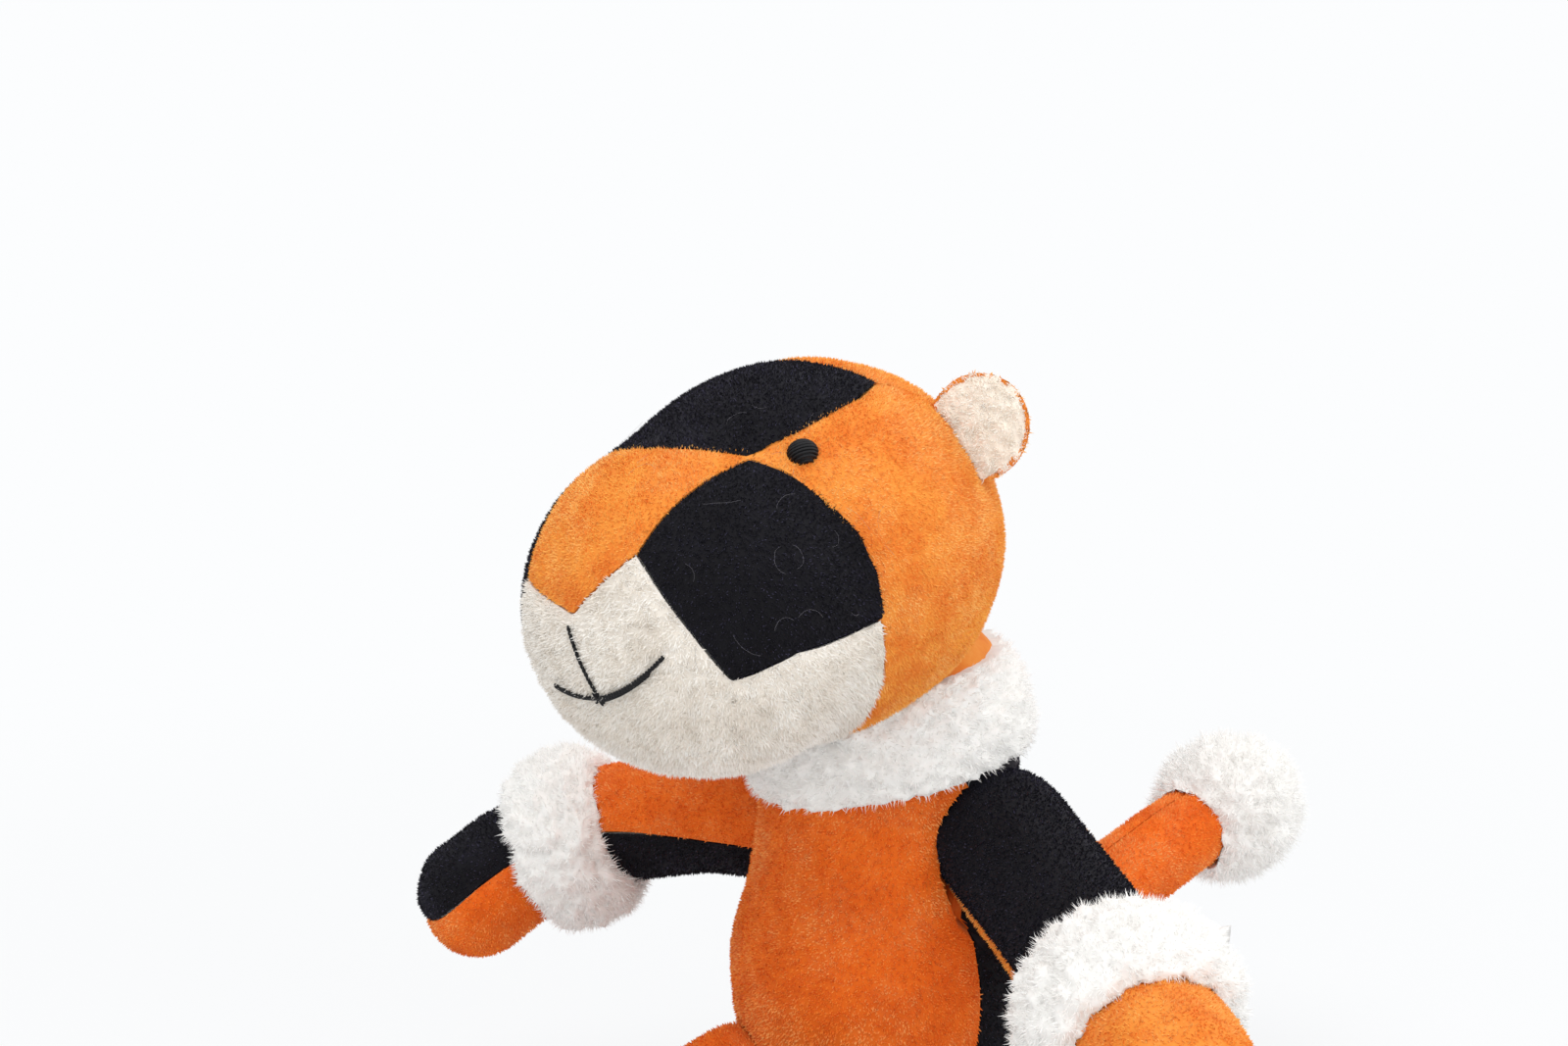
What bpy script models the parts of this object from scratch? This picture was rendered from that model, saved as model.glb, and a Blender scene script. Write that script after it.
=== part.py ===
"""A small plush tiger, seated with its arms out to the sides, its legs forward and its tail behind.

Every limb, the head and the body is a wad of stuffing in a skin of sewn velour panels, with a narrow
gap at each seam. Fleece bands close the neck, the wrists and the ankles. The head rocks on a ball at
the neck, and each limb turns on a round root that sits in a hollow of the body, where it is sewn on.
Metres, +Z up, the face towards -Y. The origin is the middle of the seat, on the floor.
"""
import bpy
import bmesh
from math import acos, asin, atan2, cos, pi, radians, sin, sqrt
from mathutils import Matrix, Vector

# Cloth and clearances
CLOTH = 0.0011
CLEARANCE = 0.0003
SEAM_GAP = 0.0003
SOCKET_CLEARANCE = 0.0005
WELD = 0.00001
FLAT_DEPTH = 0.0005

# Neck: the ball on which the head rocks, and the way it leans
NECK_HEIGHT = 0.0720
NECK_BALL_RADIUS = 0.0205
NECK_LEAN = radians(10.8)
NECK_TILT = radians(-6.3)
NECK_STEM_RADIUS = 0.0135
COLLAR_DEPTH = 0.0046
COLLAR_RISE = 0.0090
NECK_SEGMENTS = 32
NECK_ROWS = 6
SOCKET_BALL_ROWS = 24

# Head: a cranium, and a muzzle that grows out of its front
HEAD_FORWARD = 0.0177
HEAD_RISE = 0.0270
HEAD_HALF = Vector((0.02625, 0.02955, 0.02534))
MUZZLE_HALF = Vector((0.02443, 0.01811, 0.02047))
MUZZLE_FORWARD = 0.0202
MUZZLE_DROP = 0.0022
HEAD_BLEND = 8
HEAD_SEGMENTS = 24
HEAD_ROWS = 16

# Seam corners of the left half of the head, as shares of the cranium's half sizes
EYE_CORNER_SHARES = (0.537, -0.558, 0.679)
BROW_SHARES = (0.0, -0.745, 0.797)
GUSSET_SHARES = (0.476, -0.897, 0.600)
NOSE_CORNERS_SHARES = {"L": (0.370, -1.147, 0.387), "R": (0.520, -1.110, 0.240)}
NOSE_TIP_SHARES = (0.0, -1.293, 0.126)
SNOUTS_SHARES = {"L": (0.579, -1.164, 0.110), "R": (0.640, -1.130, 0.020)}
MOUTH_CORNER_SHARES = (0.731, -1.059, -0.276)
JAW_SHARES = (0.907, -0.856, -0.221)
JAW_CORNER_SHARES = (0.916, -0.318, -0.253)
CHEEK_REAR_SHARES = (0.941, -0.325, 0.099)
THROAT_SIDE_SHARES = (0.857, -0.291, -0.422)
THROAT_SHARES = (0.613, -0.227, -0.758)
TEMPLE_TOP_SHARES = (0.644, -0.108, 0.758)
CROWN_CORNER_SHARES = (0.510, 0.291, 0.809)
CROWN_FRONT_SHARES = (0.0, 0.150, 0.987)
CROWN_SIDE_SHARES = (0.500, 0.560, 0.659)
NAPE_SHARES = (0.300, 0.880, -0.240)

# Places inside a panel, which tell its side of a seam, as shares of the same sizes
CHEEK_INSIDE_SHARES = (0.90, -0.75, 0.15)
BRIDGE_INSIDE_SHARES = (0.0, -1.05, 0.55)
FOREHEAD_INSIDE_SHARES = (0.0, -0.20, 0.98)
CROWN_INSIDE_SHARES = (0.0, 0.75, 0.60)
TEMPLE_INSIDE_SHARES = (0.98, 0.20, 0.0)
CHIN_INSIDE_SHARES = (0.30, -0.90, -0.80)

# Eyes, and the stitched line from the nose to the mouth
EYE_RADIUS = 0.0021
EYE_SHARES = (0.678, -0.369, 0.635)
EYE_SEGMENTS = 12
EYE_ROWS = 8
STITCH_RADIUS = 0.0005
STITCH_SAG = 0.0012
STITCH_POINTS = 9
KNOT_SHARES = (0.072, -1.292, -0.296)
PHILTRUM_TOP_SHARES = (-0.020, -1.297, 0.075)
MOUTH_ENDS_SHARES = {"L": (0.522, -1.212, -0.091), "R": (-0.419, -1.249, -0.200)}

# Ears: a round flap of two layers, sewn on along its straight root
EAR_RADIUS = 0.0081
EAR_THICKNESS = 0.0034
EAR_STAND_SHARE = 0.30
EAR_LIFT = 0.0007
EAR_TOP_SHARES = (0.541, 0.521, 0.659)
EAR_BOTTOM_SHARES = (0.857, 0.508, 0.130)
EAR_FACING_SHARES = (0.45, -0.85, 0.20)
EAR_ROOT_SHARE = 0.90
EAR_SEGMENTS = 18
EAR_ROWS = 10

# Body: a pear on a flat seat
BODY_RADIUS = 0.0220
BODY_DEPTH_SHARE = 0.98
BODY_HEIGHT_SHARES = (0.0, 0.07, 0.17, 0.28, 0.40, 0.53, 0.61, 0.71, 0.83, 1.0)
BODY_SWELL_SHARES = (0.760, 0.870, 0.925, 0.935, 0.960, 1.0, 0.968, 0.880, 0.815, 0.780)
BODY_END_SHARES = (-0.05, 1.14)
BODY_SEAM_FORWARD = 0.0035
BODY_SEGMENTS = 20

# Limb meshes: segments round a limb, and rows on its root, its shaft and its tip
LIMB_SEGMENTS = 12
ROOT_ROWS = 3
SHAFT_ROWS = 4
TIP_ROWS = 3
SOCKET_SEGMENTS = 20
SOCKET_ROWS = 14

# Arms: the shoulder as shares of the body's radius and height, the runs from there to the elbow and
# on to the paw, and the way that the upper side looks
ARM_RADII = {"L": (0.0096, 0.0096, 0.0110), "R": (0.0082, 0.0088, 0.0092)}
PAW_LENGTH = 0.0095
WRIST_SHARES = {"L": 0.69, "R": 0.64}
SHOULDERS_SHARES = {"L": (0.877, 0.118, 0.824), "R": (-0.909, -0.068, 0.764)}
UPPER_ARMS = {"L": Vector((0.0269, -0.0092, -0.0105)), "R": Vector((-0.0320, -0.0065, -0.0002))}
FOREARMS = {"L": Vector((0.0183, -0.0104, -0.0076)), "R": Vector((-0.0095, -0.0170, -0.0143))}
ARM_OVERS = {"L": Vector((0, -0.59, 0.81)), "R": Vector((0, -0.35, 0.94))}
ARM_SWING = (radians(-20), radians(15))

# Legs: they slope forward and down from the hips, and lie on their cuffs
LEG_RADII = (0.0092, 0.0094, 0.0108)
FOOT_LENGTH = 0.0090
ANKLE_SHARE = 0.62
HIP_GAP = 0.0012
HIP_SHARES = (0.0, -0.873, 0.292)
THIGH_SPREAD = 0.0061
THIGH_FORWARD = 0.0188
SHIN_SPREAD = 0.0025
SHIN_FORWARD = 0.0190
FOOT_LIFT = 0.0006
LEG_SWING = (0, radians(25))

# Fleece cuffs
CUFF_WIDTH = 0.0135
CUFF_THICKNESS = 0.0050
CUFF_EDGE_SHARE = 0.80
CUFF_BORE_SHARE = 0.75
CUFF_SEGMENTS = 16
CUFF_ROWS = 5

# Tail and its tuft
TAIL_RADIUS = 0.0064
TAIL_ROOT_SHARES = (0.0, 1.036, 0.354)
TAIL_RISING = Vector((0.0, 0.0242, 0.0155))
TAIL_LEVEL = Vector((0.0, 0.0310, 0.0054))
TAIL_SWING = (radians(-12), radians(18))
TAIL_EVEN_SHARE = 0.5
TUFT_RADIUS = 0.0112
TUFT_LENGTH = 0.0250
TUFT_SHARE = 1.03
TUFT_SEGMENTS = 16
TUFT_ROWS = 10

# Label, a folded ribbon in the seam at the left of the back
LABEL_WIDTH = 0.0130
LABEL_LENGTH = 0.0340
LABEL_THICKNESS = 0.0007
LABEL_HEIGHT_SHARE = 0.417
LABEL_PLACE = radians(52)
LABEL_SEAM_SHARE = 0.985
LABEL_TURN = radians(14)
LABEL_BOW = 0.0015
LABEL_RISE = 0.0030
LABEL_STEPS = 8

ORANGE = "#F07A22"
BLACK = "#1B1B24"
CREAM = "#E9DCC6"
WHITE = "#F4F2EE"
THREAD = "#15151A"
FIBRE = "#E6E6E2"
SATIN = "#F1F0EC"


def collection(name):
    """A new collection in the scene."""
    group = bpy.data.collections.new(name)
    bpy.context.scene.collection.children.link(group)
    return group


def finish(name, colour, roughness):
    """A plain cloth or thread, of a colour written as red, green and blue in hex."""
    material = bpy.data.materials.new(name)
    material.use_nodes = True
    shader = material.node_tree.nodes["Principled BSDF"]
    linear = []
    for start in (1, 3, 5):
        value = int(colour[start:start + 2], 16) / 255
        linear.append(value / 12.92 if value <= 0.04045 else ((value + 0.055) / 1.055) ** 2.4)
    shader.inputs["Base Color"].default_value = (*linear, 1)
    shader.inputs["Roughness"].default_value = roughness
    shader.inputs["Metallic"].default_value = 0
    material.diffuse_color = (*linear, 1)
    return material


for old in list(bpy.data.objects):
    bpy.data.objects.remove(old, do_unlink=True)
TIGER = collection("plush_tiger")
CUTTERS = collection("cutters")
FINISHES = {
    "orange_velour": finish("orange_velour", ORANGE, 0.9),
    "black_velour": finish("black_velour", BLACK, 0.9),
    "cream_velour": finish("cream_velour", CREAM, 0.95),
    "white_fleece": finish("white_fleece", WHITE, 1.0),
    "black_thread": finish("black_thread", THREAD, 0.6),
    "stuffing": finish("stuffing", FIBRE, 1.0),
    "label_satin": finish("label_satin", SATIN, 0.5),
}
SIDE_SHARES = {"L": 1, "R": -1}
REACH = NECK_HEIGHT * 4
NECK = Vector((0, 0, NECK_HEIGHT))
NECK_TURN = Matrix.Rotation(NECK_LEAN, 4, "X") @ Matrix.Rotation(NECK_TILT, 4, "Y")
NECK_FRAME = Matrix.Translation(NECK) @ NECK_TURN
HEAD_FRAME = Matrix.Translation(NECK + Vector((0, -HEAD_FORWARD, HEAD_RISE))) @ NECK_TURN
PLAIN_FRAME = Matrix.Identity(4)
edge = SEAM_GAP / 2


def hinge(name, place):
    """An empty on a joint's axis, which carries the pieces that turn on it."""
    empty = bpy.data.objects.new(name, None)
    empty.empty_display_size = CLOTH
    empty.location = place
    TIGER.objects.link(empty)
    return empty


def piece(name, bm, slot=None, joint=None, frame=PLAIN_FRAME, group=TIGER):
    """An object made of bm, which stands in frame and hangs under the joint's empty."""
    mesh = bpy.data.meshes.new(name)
    bm.to_mesh(mesh)
    bm.free()
    mesh.shade_smooth()
    part = bpy.data.objects.new(name, mesh)
    group.objects.link(part)
    if slot:
        mesh.materials.append(FINISHES[slot])
    part.parent = joint
    part.matrix_basis = Matrix.Translation(-joint.location) @ frame if joint else frame
    if group is CUTTERS:
        part.hide_render = True
        part.display_type = "WIRE"
    return part


def applied(part):
    """Gives the part the mesh that its modifiers make."""
    bpy.context.view_layer.update()
    evaluated = part.evaluated_get(bpy.context.evaluated_depsgraph_get())
    mesh = bpy.data.meshes.new_from_object(evaluated)
    part.modifiers.clear()
    whole = part.data
    part.data = mesh
    bpy.data.meshes.remove(whole)
    return part


def carve(part, cutter, operation="DIFFERENCE"):
    """Cuts the part by the cutter with an exact Boolean."""
    modifier = part.modifiers.new("cut", "BOOLEAN")
    modifier.operation = operation
    modifier.solver = "EXACT"
    modifier.object = cutter
    return applied(part)


def block(name, planes, frame=PLAIN_FRAME):
    """A cutter: a big cube kept on the inner side of each plane, a point and an outward normal."""
    bm = bmesh.new()
    bmesh.ops.create_cube(bm, size=REACH)
    for point, outward in planes:
        cut = bmesh.ops.bisect_plane(bm, geom=bm.verts[:] + bm.edges[:] + bm.faces[:],
                                     plane_co=point, plane_no=outward, clear_outer=True)
        rim = [item for item in cut["geom_cut"] if isinstance(item, bmesh.types.BMEdge)]
        if rim:
            bmesh.ops.contextual_create(bm, geom=rim)
    bmesh.ops.recalc_face_normals(bm, faces=bm.faces)
    return piece(name, bm, frame=frame, group=CUTTERS)


def ball(name, centre, radius, segments, rows):
    """A round cutter."""
    bm = bmesh.new()
    bmesh.ops.create_uvsphere(bm, u_segments=segments, v_segments=rows, radius=radius,
                              matrix=Matrix.Translation(centre))
    return piece(name, bm, group=CUTTERS)


def hollow(name, outer, lining, joint=None, frame=PLAIN_FRAME):
    """A skin before it is cut into panels: the solid between an outer face and its lining."""
    bmesh.ops.reverse_faces(lining, faces=lining.faces)
    inner = bpy.data.meshes.new("lining")
    lining.to_mesh(inner)
    lining.free()
    outer.from_mesh(inner)
    bpy.data.meshes.remove(inner)
    return piece(name, outer, None, joint, frame, CUTTERS)


def panel(name, skin, slot, kept, removed=()):
    """One sewn panel: the stretch of the skin inside the cutter kept, less the cutters removed."""
    part = skin.copy()
    part.data = skin.data.copy()
    part.name = name
    part.data.name = name
    part.hide_render = False
    part.display_type = "TEXTURED"
    TIGER.objects.link(part)
    part.data.materials.clear()
    part.data.materials.append(FINISHES[slot])
    carve(part, kept, "INTERSECT")
    for cutter in removed:
        carve(part, cutter)
    return part


def turned(name, profile, segments, slot, joint, frame, ring=False):
    """A turned piece: a profile of (radius, height) points that runs down its outer side."""
    bm = bmesh.new()
    points = [bm.verts.new((radius, 0, height)) for radius, height in profile]
    for first, second in zip(points, points[1:]):
        bm.edges.new((first, second))
    if ring:
        bm.edges.new((points[-1], points[0]))
    part = piece(name, bm, slot, joint, frame)
    screw = part.modifiers.new("turn", "SCREW")
    screw.axis = "Z"
    screw.angle = 2 * pi
    screw.steps = segments
    screw.render_steps = segments
    screw.use_merge_vertices = True
    screw.merge_threshold = WELD
    screw.use_smooth_shade = True
    return applied(part)


# Head
def shared(shares, side=1):
    """A place given as shares of the head's half sizes, on the left or, where side is -1, the right."""
    return Vector((shares[0] * HEAD_HALF.x * side, shares[1] * HEAD_HALF.y, shares[2] * HEAD_HALF.z))


def ellipsoid_exit(direction, centre, half):
    """How far a ray from the origin runs until it leaves an ellipsoid, or 0 where it misses it."""
    across = Vector([direction[i] / half[i] for i in range(3)])
    start = Vector([-centre[i] / half[i] for i in range(3)])
    slope = across.dot(start)
    inside = slope * slope - across.dot(across) * (start.dot(start) - 1)
    if inside <= 0:
        return 0.0
    return max(0.0, (sqrt(inside) - slope) / across.dot(across))


def on_head(direction, depth=0.0):
    """The head's surface in a direction from the middle of the cranium, at a depth under the cloth."""
    way = direction.normalized()
    inset = Vector((depth, depth, depth))
    muzzle_middle = Vector((0, -MUZZLE_FORWARD, -MUZZLE_DROP))
    cranium = ellipsoid_exit(way, Vector(), HEAD_HALF - inset)
    muzzle = ellipsoid_exit(way, muzzle_middle, MUZZLE_HALF - inset)
    return way * (cranium ** HEAD_BLEND + muzzle ** HEAD_BLEND) ** (1 / HEAD_BLEND)


def head_form(depth):
    """The head's shape at a depth under its cloth."""
    bm = bmesh.new()
    bmesh.ops.create_uvsphere(bm, u_segments=HEAD_SEGMENTS, v_segments=HEAD_ROWS, radius=1)
    for vertex in bm.verts:
        vertex.co = on_head(vertex.co, depth)
    bmesh.ops.triangulate(bm, faces=bm.faces, quad_method="FIXED")
    return bm


def seam(corners, inside, side, gap):
    """The cut through three places, gap short of the panel's edge on the side of the place inside."""
    first, second, third = [shared(corner, side) for corner in corners]
    outward = (second - first).cross(third - first).normalized()
    if (shared(inside, side) - first).dot(outward) > 0:
        outward = -outward
    return first - outward * gap, outward


def side_planes(label, gap):
    """The seams round the left or right cheek, in order: bridge, temple, snout, jaw and the middle."""
    inside = CHEEK_INSIDE_SHARES
    side = SIDE_SHARES[label]
    nose_corner = NOSE_CORNERS_SHARES[label]
    return [
        seam((EYE_CORNER_SHARES, GUSSET_SHARES, nose_corner), inside, side, gap),
        seam((EYE_CORNER_SHARES, CHEEK_REAR_SHARES, JAW_CORNER_SHARES), inside, side, gap),
        seam((nose_corner, SNOUTS_SHARES[label], MOUTH_CORNER_SHARES), inside, side, gap),
        seam((MOUTH_CORNER_SHARES, JAW_SHARES, JAW_CORNER_SHARES), inside, side, gap),
        (Vector((gap * side, 0, 0)), Vector((-side, 0, 0))),
    ]


def bridge_planes(gap):
    """The seams round the orange bridge of the nose."""
    inside = BRIDGE_INSIDE_SHARES
    muzzle = (0, -MUZZLE_FORWARD / HEAD_HALF.y, -MUZZLE_DROP / HEAD_HALF.z)
    planes = [(Vector((0, 0, 0)), Vector((0, 1, 0)))]
    mirrored_corner = (-EYE_CORNER_SHARES[0], *EYE_CORNER_SHARES[1:])
    planes.append(seam((EYE_CORNER_SHARES, BROW_SHARES, mirrored_corner), inside, 1, gap))
    for label, side in SIDE_SHARES.items():
        corner = NOSE_CORNERS_SHARES[label]
        planes.append(seam((EYE_CORNER_SHARES, GUSSET_SHARES, corner), inside, side, gap))
        planes.append(seam((corner, NOSE_TIP_SHARES, muzzle), inside, side, gap))
    return planes


def forehead_planes(gap):
    """The seams at the front and the sides of the black forehead."""
    inside = FOREHEAD_INSIDE_SHARES
    mirrored_corner = (-EYE_CORNER_SHARES[0], *EYE_CORNER_SHARES[1:])
    planes = [seam((EYE_CORNER_SHARES, BROW_SHARES, mirrored_corner), inside, 1, gap)]
    for side in SIDE_SHARES.values():
        corners = (EYE_CORNER_SHARES, TEMPLE_TOP_SHARES, CROWN_CORNER_SHARES)
        planes.append(seam(corners, inside, side, gap))
    return planes


def crown_planes(gap):
    """The seams at the front and the sides of the orange crown, which narrows towards the nape."""
    inside = CROWN_INSIDE_SHARES
    planes = []
    for side in SIDE_SHARES.values():
        planes.append(seam((CROWN_CORNER_SHARES, CROWN_FRONT_SHARES, (0, 0, 0)), inside, side, gap))
        planes.append(seam((CROWN_CORNER_SHARES, CROWN_SIDE_SHARES, NAPE_SHARES), inside, side, gap))
    return planes


def ear_frame(side):
    """An ear's place on the head: X along its root, Y out of its back, Z the way it stands."""
    ends = [on_head(shared(shares, side)) for shares in (EAR_TOP_SHARES, EAR_BOTTOM_SHARES)]
    root = on_head(ends[0] + ends[1])
    along = (ends[1] - ends[0]).normalized() * side
    facing = shared(EAR_FACING_SHARES, side)
    facing = (facing - along * facing.dot(along)).normalized()
    turn = Matrix((along, -facing, along.cross(-facing))).transposed().to_4x4()
    lift = on_head(root).normalized() * EAR_LIFT
    return Matrix.Translation(root + lift) @ turn


def ear_root(name, side, clearance):
    """The round root of an ear, or with a clearance the groove that it lies in."""
    bm = bmesh.new()
    chord = 2 * EAR_RADIUS * sqrt(1 - EAR_STAND_SHARE ** 2) * EAR_ROOT_SHARE
    radius = EAR_THICKNESS / 2 + clearance
    bmesh.ops.create_cone(bm, cap_ends=True, segments=SOCKET_ROWS, radius1=radius, radius2=radius,
                          depth=chord + 2 * clearance, matrix=Matrix.Rotation(pi / 2, 4, "Y"))
    return piece(name, bm, frame=HEAD_FRAME @ ear_frame(side), group=CUTTERS)


def ear(label, side):
    """An ear: a round flap with an orange back and a cream face, cut off at its root."""
    place = ear_frame(side)
    frame = HEAD_FRAME @ place
    joint = hinge(f"ear_{label}_root", frame.translation)
    outwards = 1 if place.col[2].to_3d().dot(place.translation) > 0 else -1
    root = ear_root(f"ear_{label}_root_form", side, 0)
    for name, slot, way in (("back", "orange_velour", 1), ("face", "cream_velour", -1)):
        bm = bmesh.new()
        stand = Vector((0, 0, EAR_RADIUS * EAR_STAND_SHARE * outwards))
        bmesh.ops.create_uvsphere(bm, u_segments=EAR_SEGMENTS, v_segments=EAR_ROWS, radius=1,
                                  matrix=Matrix.Rotation(pi / 2, 4, "X"))
        half = Vector((EAR_RADIUS, EAR_THICKNESS / 2, EAR_RADIUS))
        for vertex in bm.verts:
            vertex.co = vertex.co * half + stand
        layer = piece(f"ear_{label}_{name}", bm, slot, joint, frame)
        above = block(f"ear_{label}_{name}_above", [(Vector(), Vector((0, 0, -outwards)))], frame)
        carve(layer, above, "INTERSECT")
        carve(layer, root, "UNION")
        planes = [(Vector((0, edge * way, 0)), Vector((0, -way, 0)))]
        carve(layer, block(f"ear_{label}_{name}_side", planes, frame), "INTERSECT")


def stitch(name, ends, sag):
    """A line of thread on the muzzle, through places in order, which sags between them."""
    lift = -(STITCH_RADIUS + CLEARANCE)
    route = []
    for first, second in zip(ends, ends[1:]):
        for step in range(STITCH_POINTS):
            share = step / STITCH_POINTS
            place = first.lerp(second, share)
            place.z -= 4 * sag * share * (1 - share)
            route.append(on_head(place, lift))
    route.append(on_head(ends[-1], lift))
    curve = bpy.data.curves.new(name, "CURVE")
    curve.dimensions = "3D"
    curve.bevel_depth = STITCH_RADIUS
    curve.bevel_resolution = 1
    curve.use_fill_caps = True
    spline = curve.splines.new("POLY")
    spline.points.add(len(route) - 1)
    for point, place in zip(spline.points, route):
        point.co = (*place, 1)
    curve.materials.append(FINISHES["black_thread"])
    thread = bpy.data.objects.new(name, curve)
    TIGER.objects.link(thread)
    thread.parent = head_joint
    thread.matrix_basis = Matrix.Translation(-head_joint.location) @ HEAD_FRAME


collar_joint = hinge("collar_turn", NECK)
head_joint = hinge("head_nod", NECK)
neck_socket = ball("neck_socket", NECK, NECK_BALL_RADIUS + CLEARANCE, NECK_SEGMENTS, SOCKET_BALL_ROWS)
head_skin = hollow("head_skin", head_form(0), head_form(CLOTH), head_joint, HEAD_FRAME)
grooves = {label: ear_root(f"ear_{label}_groove", side, CLEARANCE) for label, side in SIDE_SHARES.items()}

panel("bridge", head_skin, "orange_velour", block("bridge_cut", bridge_planes(edge), HEAD_FRAME))
rear_planes = crown_planes(-edge)
crown_front = [rear_planes[0], rear_planes[2]]
panel("forehead", head_skin, "black_velour", block("forehead_cut", forehead_planes(edge), HEAD_FRAME),
      [block("crown_front", crown_front, HEAD_FRAME)])
panel("crown", head_skin, "orange_velour", block("crown_cut", crown_planes(edge), HEAD_FRAME),
      [neck_socket, *grooves.values()])

bridge_room = block("bridge_room", bridge_planes(-edge), HEAD_FRAME)
forehead_room = block("forehead_room", forehead_planes(-edge), HEAD_FRAME)
crown_room = block("crown_room", crown_planes(-edge), HEAD_FRAME)
throat_corners = (JAW_CORNER_SHARES, THROAT_SIDE_SHARES, THROAT_SHARES)
chin_planes = []
chin_cutters = []
for label, side in SIDE_SHARES.items():
    cheek_planes = side_planes(label, edge)
    panel(f"cheek_{label}", head_skin, "black_velour",
          block(f"cheek_{label}_cut", cheek_planes, HEAD_FRAME))
    temple_seam = seam((EYE_CORNER_SHARES, CHEEK_REAR_SHARES, JAW_CORNER_SHARES),
                       TEMPLE_INSIDE_SHARES, side, edge)
    middle = (Vector((edge * side, 0, 0)), Vector((-side, 0, 0)))
    room = [seam(throat_corners, CHIN_INSIDE_SHARES, side, -edge),
            seam((MOUTH_CORNER_SHARES, JAW_SHARES, JAW_CORNER_SHARES), CHIN_INSIDE_SHARES, side, -edge)]
    chin_room = block(f"chin_{label}_room", room, HEAD_FRAME)
    panel(f"temple_{label}", head_skin, "orange_velour",
          block(f"temple_{label}_cut", [temple_seam, middle], HEAD_FRAME),
          [bridge_room, forehead_room, crown_room, chin_room, neck_socket, grooves[label]])
    chin_planes.append(seam(throat_corners, CHIN_INSIDE_SHARES, side, edge))
    side_room = side_planes(label, -edge)[2:]
    chin_cutters.append(block(f"side_{label}_room", side_room, HEAD_FRAME))
panel("muzzle", head_skin, "cream_velour", block("muzzle_cut", chin_planes, HEAD_FRAME),
      [*chin_cutters, bridge_room, neck_socket])

head_stuffing = piece("head_stuffing", head_form(CLOTH + CLEARANCE), "stuffing", head_joint, HEAD_FRAME)
for cutter in (neck_socket, *grooves.values()):
    carve(head_stuffing, cutter)

head_face = piece("head_face", head_form(-CLEARANCE), frame=HEAD_FRAME, group=CUTTERS)
for label, side in SIDE_SHARES.items():
    bm = bmesh.new()
    bmesh.ops.create_uvsphere(bm, u_segments=EYE_SEGMENTS, v_segments=EYE_ROWS, radius=EYE_RADIUS,
                              matrix=Matrix.Translation(on_head(shared(EYE_SHARES, side))))
    carve(piece(f"eye_{label}", bm, "black_thread", head_joint, HEAD_FRAME), head_face)
    ear(label, side)
knot = shared(KNOT_SHARES)
mouth = [shared(MOUTH_ENDS_SHARES["L"]), knot, shared(MOUTH_ENDS_SHARES["R"])]
stitch("mouth_stitch", mouth, STITCH_SAG)
top = shared(PHILTRUM_TOP_SHARES)
clear = 2 * STITCH_RADIUS + CLEARANCE
stitch("philtrum_stitch", [top, knot + (top - knot).normalized() * clear], 0)

# Neck
def ball_arc(start, end):
    """Places on the neck's ball as (radius, height), from one angle above its middle to another."""
    steps = [start + (end - start) * row / NECK_ROWS for row in range(NECK_ROWS + 1)]
    return [(NECK_BALL_RADIUS * cos(angle), NECK_BALL_RADIUS * sin(angle)) for angle in steps]


collar_profile = [(NECK_STEM_RADIUS + CLEARANCE, COLLAR_RISE)]
collar_profile += ball_arc(asin(COLLAR_RISE / NECK_BALL_RADIUS), -asin(COLLAR_DEPTH / NECK_BALL_RADIUS))
collar_profile.append((NECK_STEM_RADIUS + CLEARANCE, -COLLAR_DEPTH))
turned("collar", collar_profile, NECK_SEGMENTS, "white_fleece", collar_joint, NECK_FRAME, ring=True)
cap_low = COLLAR_RISE + CLEARANCE
neck_profile = [(0, NECK_BALL_RADIUS)] + ball_arc(pi / 2, asin(cap_low / NECK_BALL_RADIUS))[1:]
neck_profile += [(NECK_STEM_RADIUS, cap_low), (NECK_STEM_RADIUS, -COLLAR_DEPTH), (0, -COLLAR_DEPTH)]
turned("neck_stuffing", neck_profile, NECK_SEGMENTS, "stuffing", None, NECK_FRAME)


# Limbs
def bend_point(points, share):
    """A point of the smooth bend from a root, past an elbow, to an end."""
    root, elbow, end = points
    return root * (1 - share) ** 2 + elbow * (2 * share * (1 - share)) + end * share ** 2


def bend_way(points, share):
    """The direction of that bend at a share of its length."""
    root, elbow, end = points
    return ((elbow - root) * (1 - share) + (end - elbow) * share).normalized()


def limb_length(points):
    """The length of a limb's bend, from its root to its end."""
    steps = SHAFT_ROWS * LIMB_SEGMENTS
    marks = [bend_point(points, step / steps) for step in range(steps + 1)]
    return sum((second - first).length for first, second in zip(marks, marks[1:]))


def upright(points, hint):
    """The direction of hint, made square to the line from a limb's root to its end."""
    reach = points[2] - points[0]
    return reach.cross(hint).cross(reach).normalized()


def limb_frame(points, share, over):
    """The middle of a limb at a share of its length, its way, and the two directions across it."""
    held = min(1.0, max(0.0, share))
    way = bend_way(points, held)
    beyond = (share - held) * limb_length(points)
    across = way.cross(over).normalized()
    return bend_point(points, held) + way * beyond, way, across, across.cross(way)


def eased(first, second, share):
    """A value between two, which leaves each of them smoothly."""
    return first + (second - first) * share * share * (3 - 2 * share)


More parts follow.
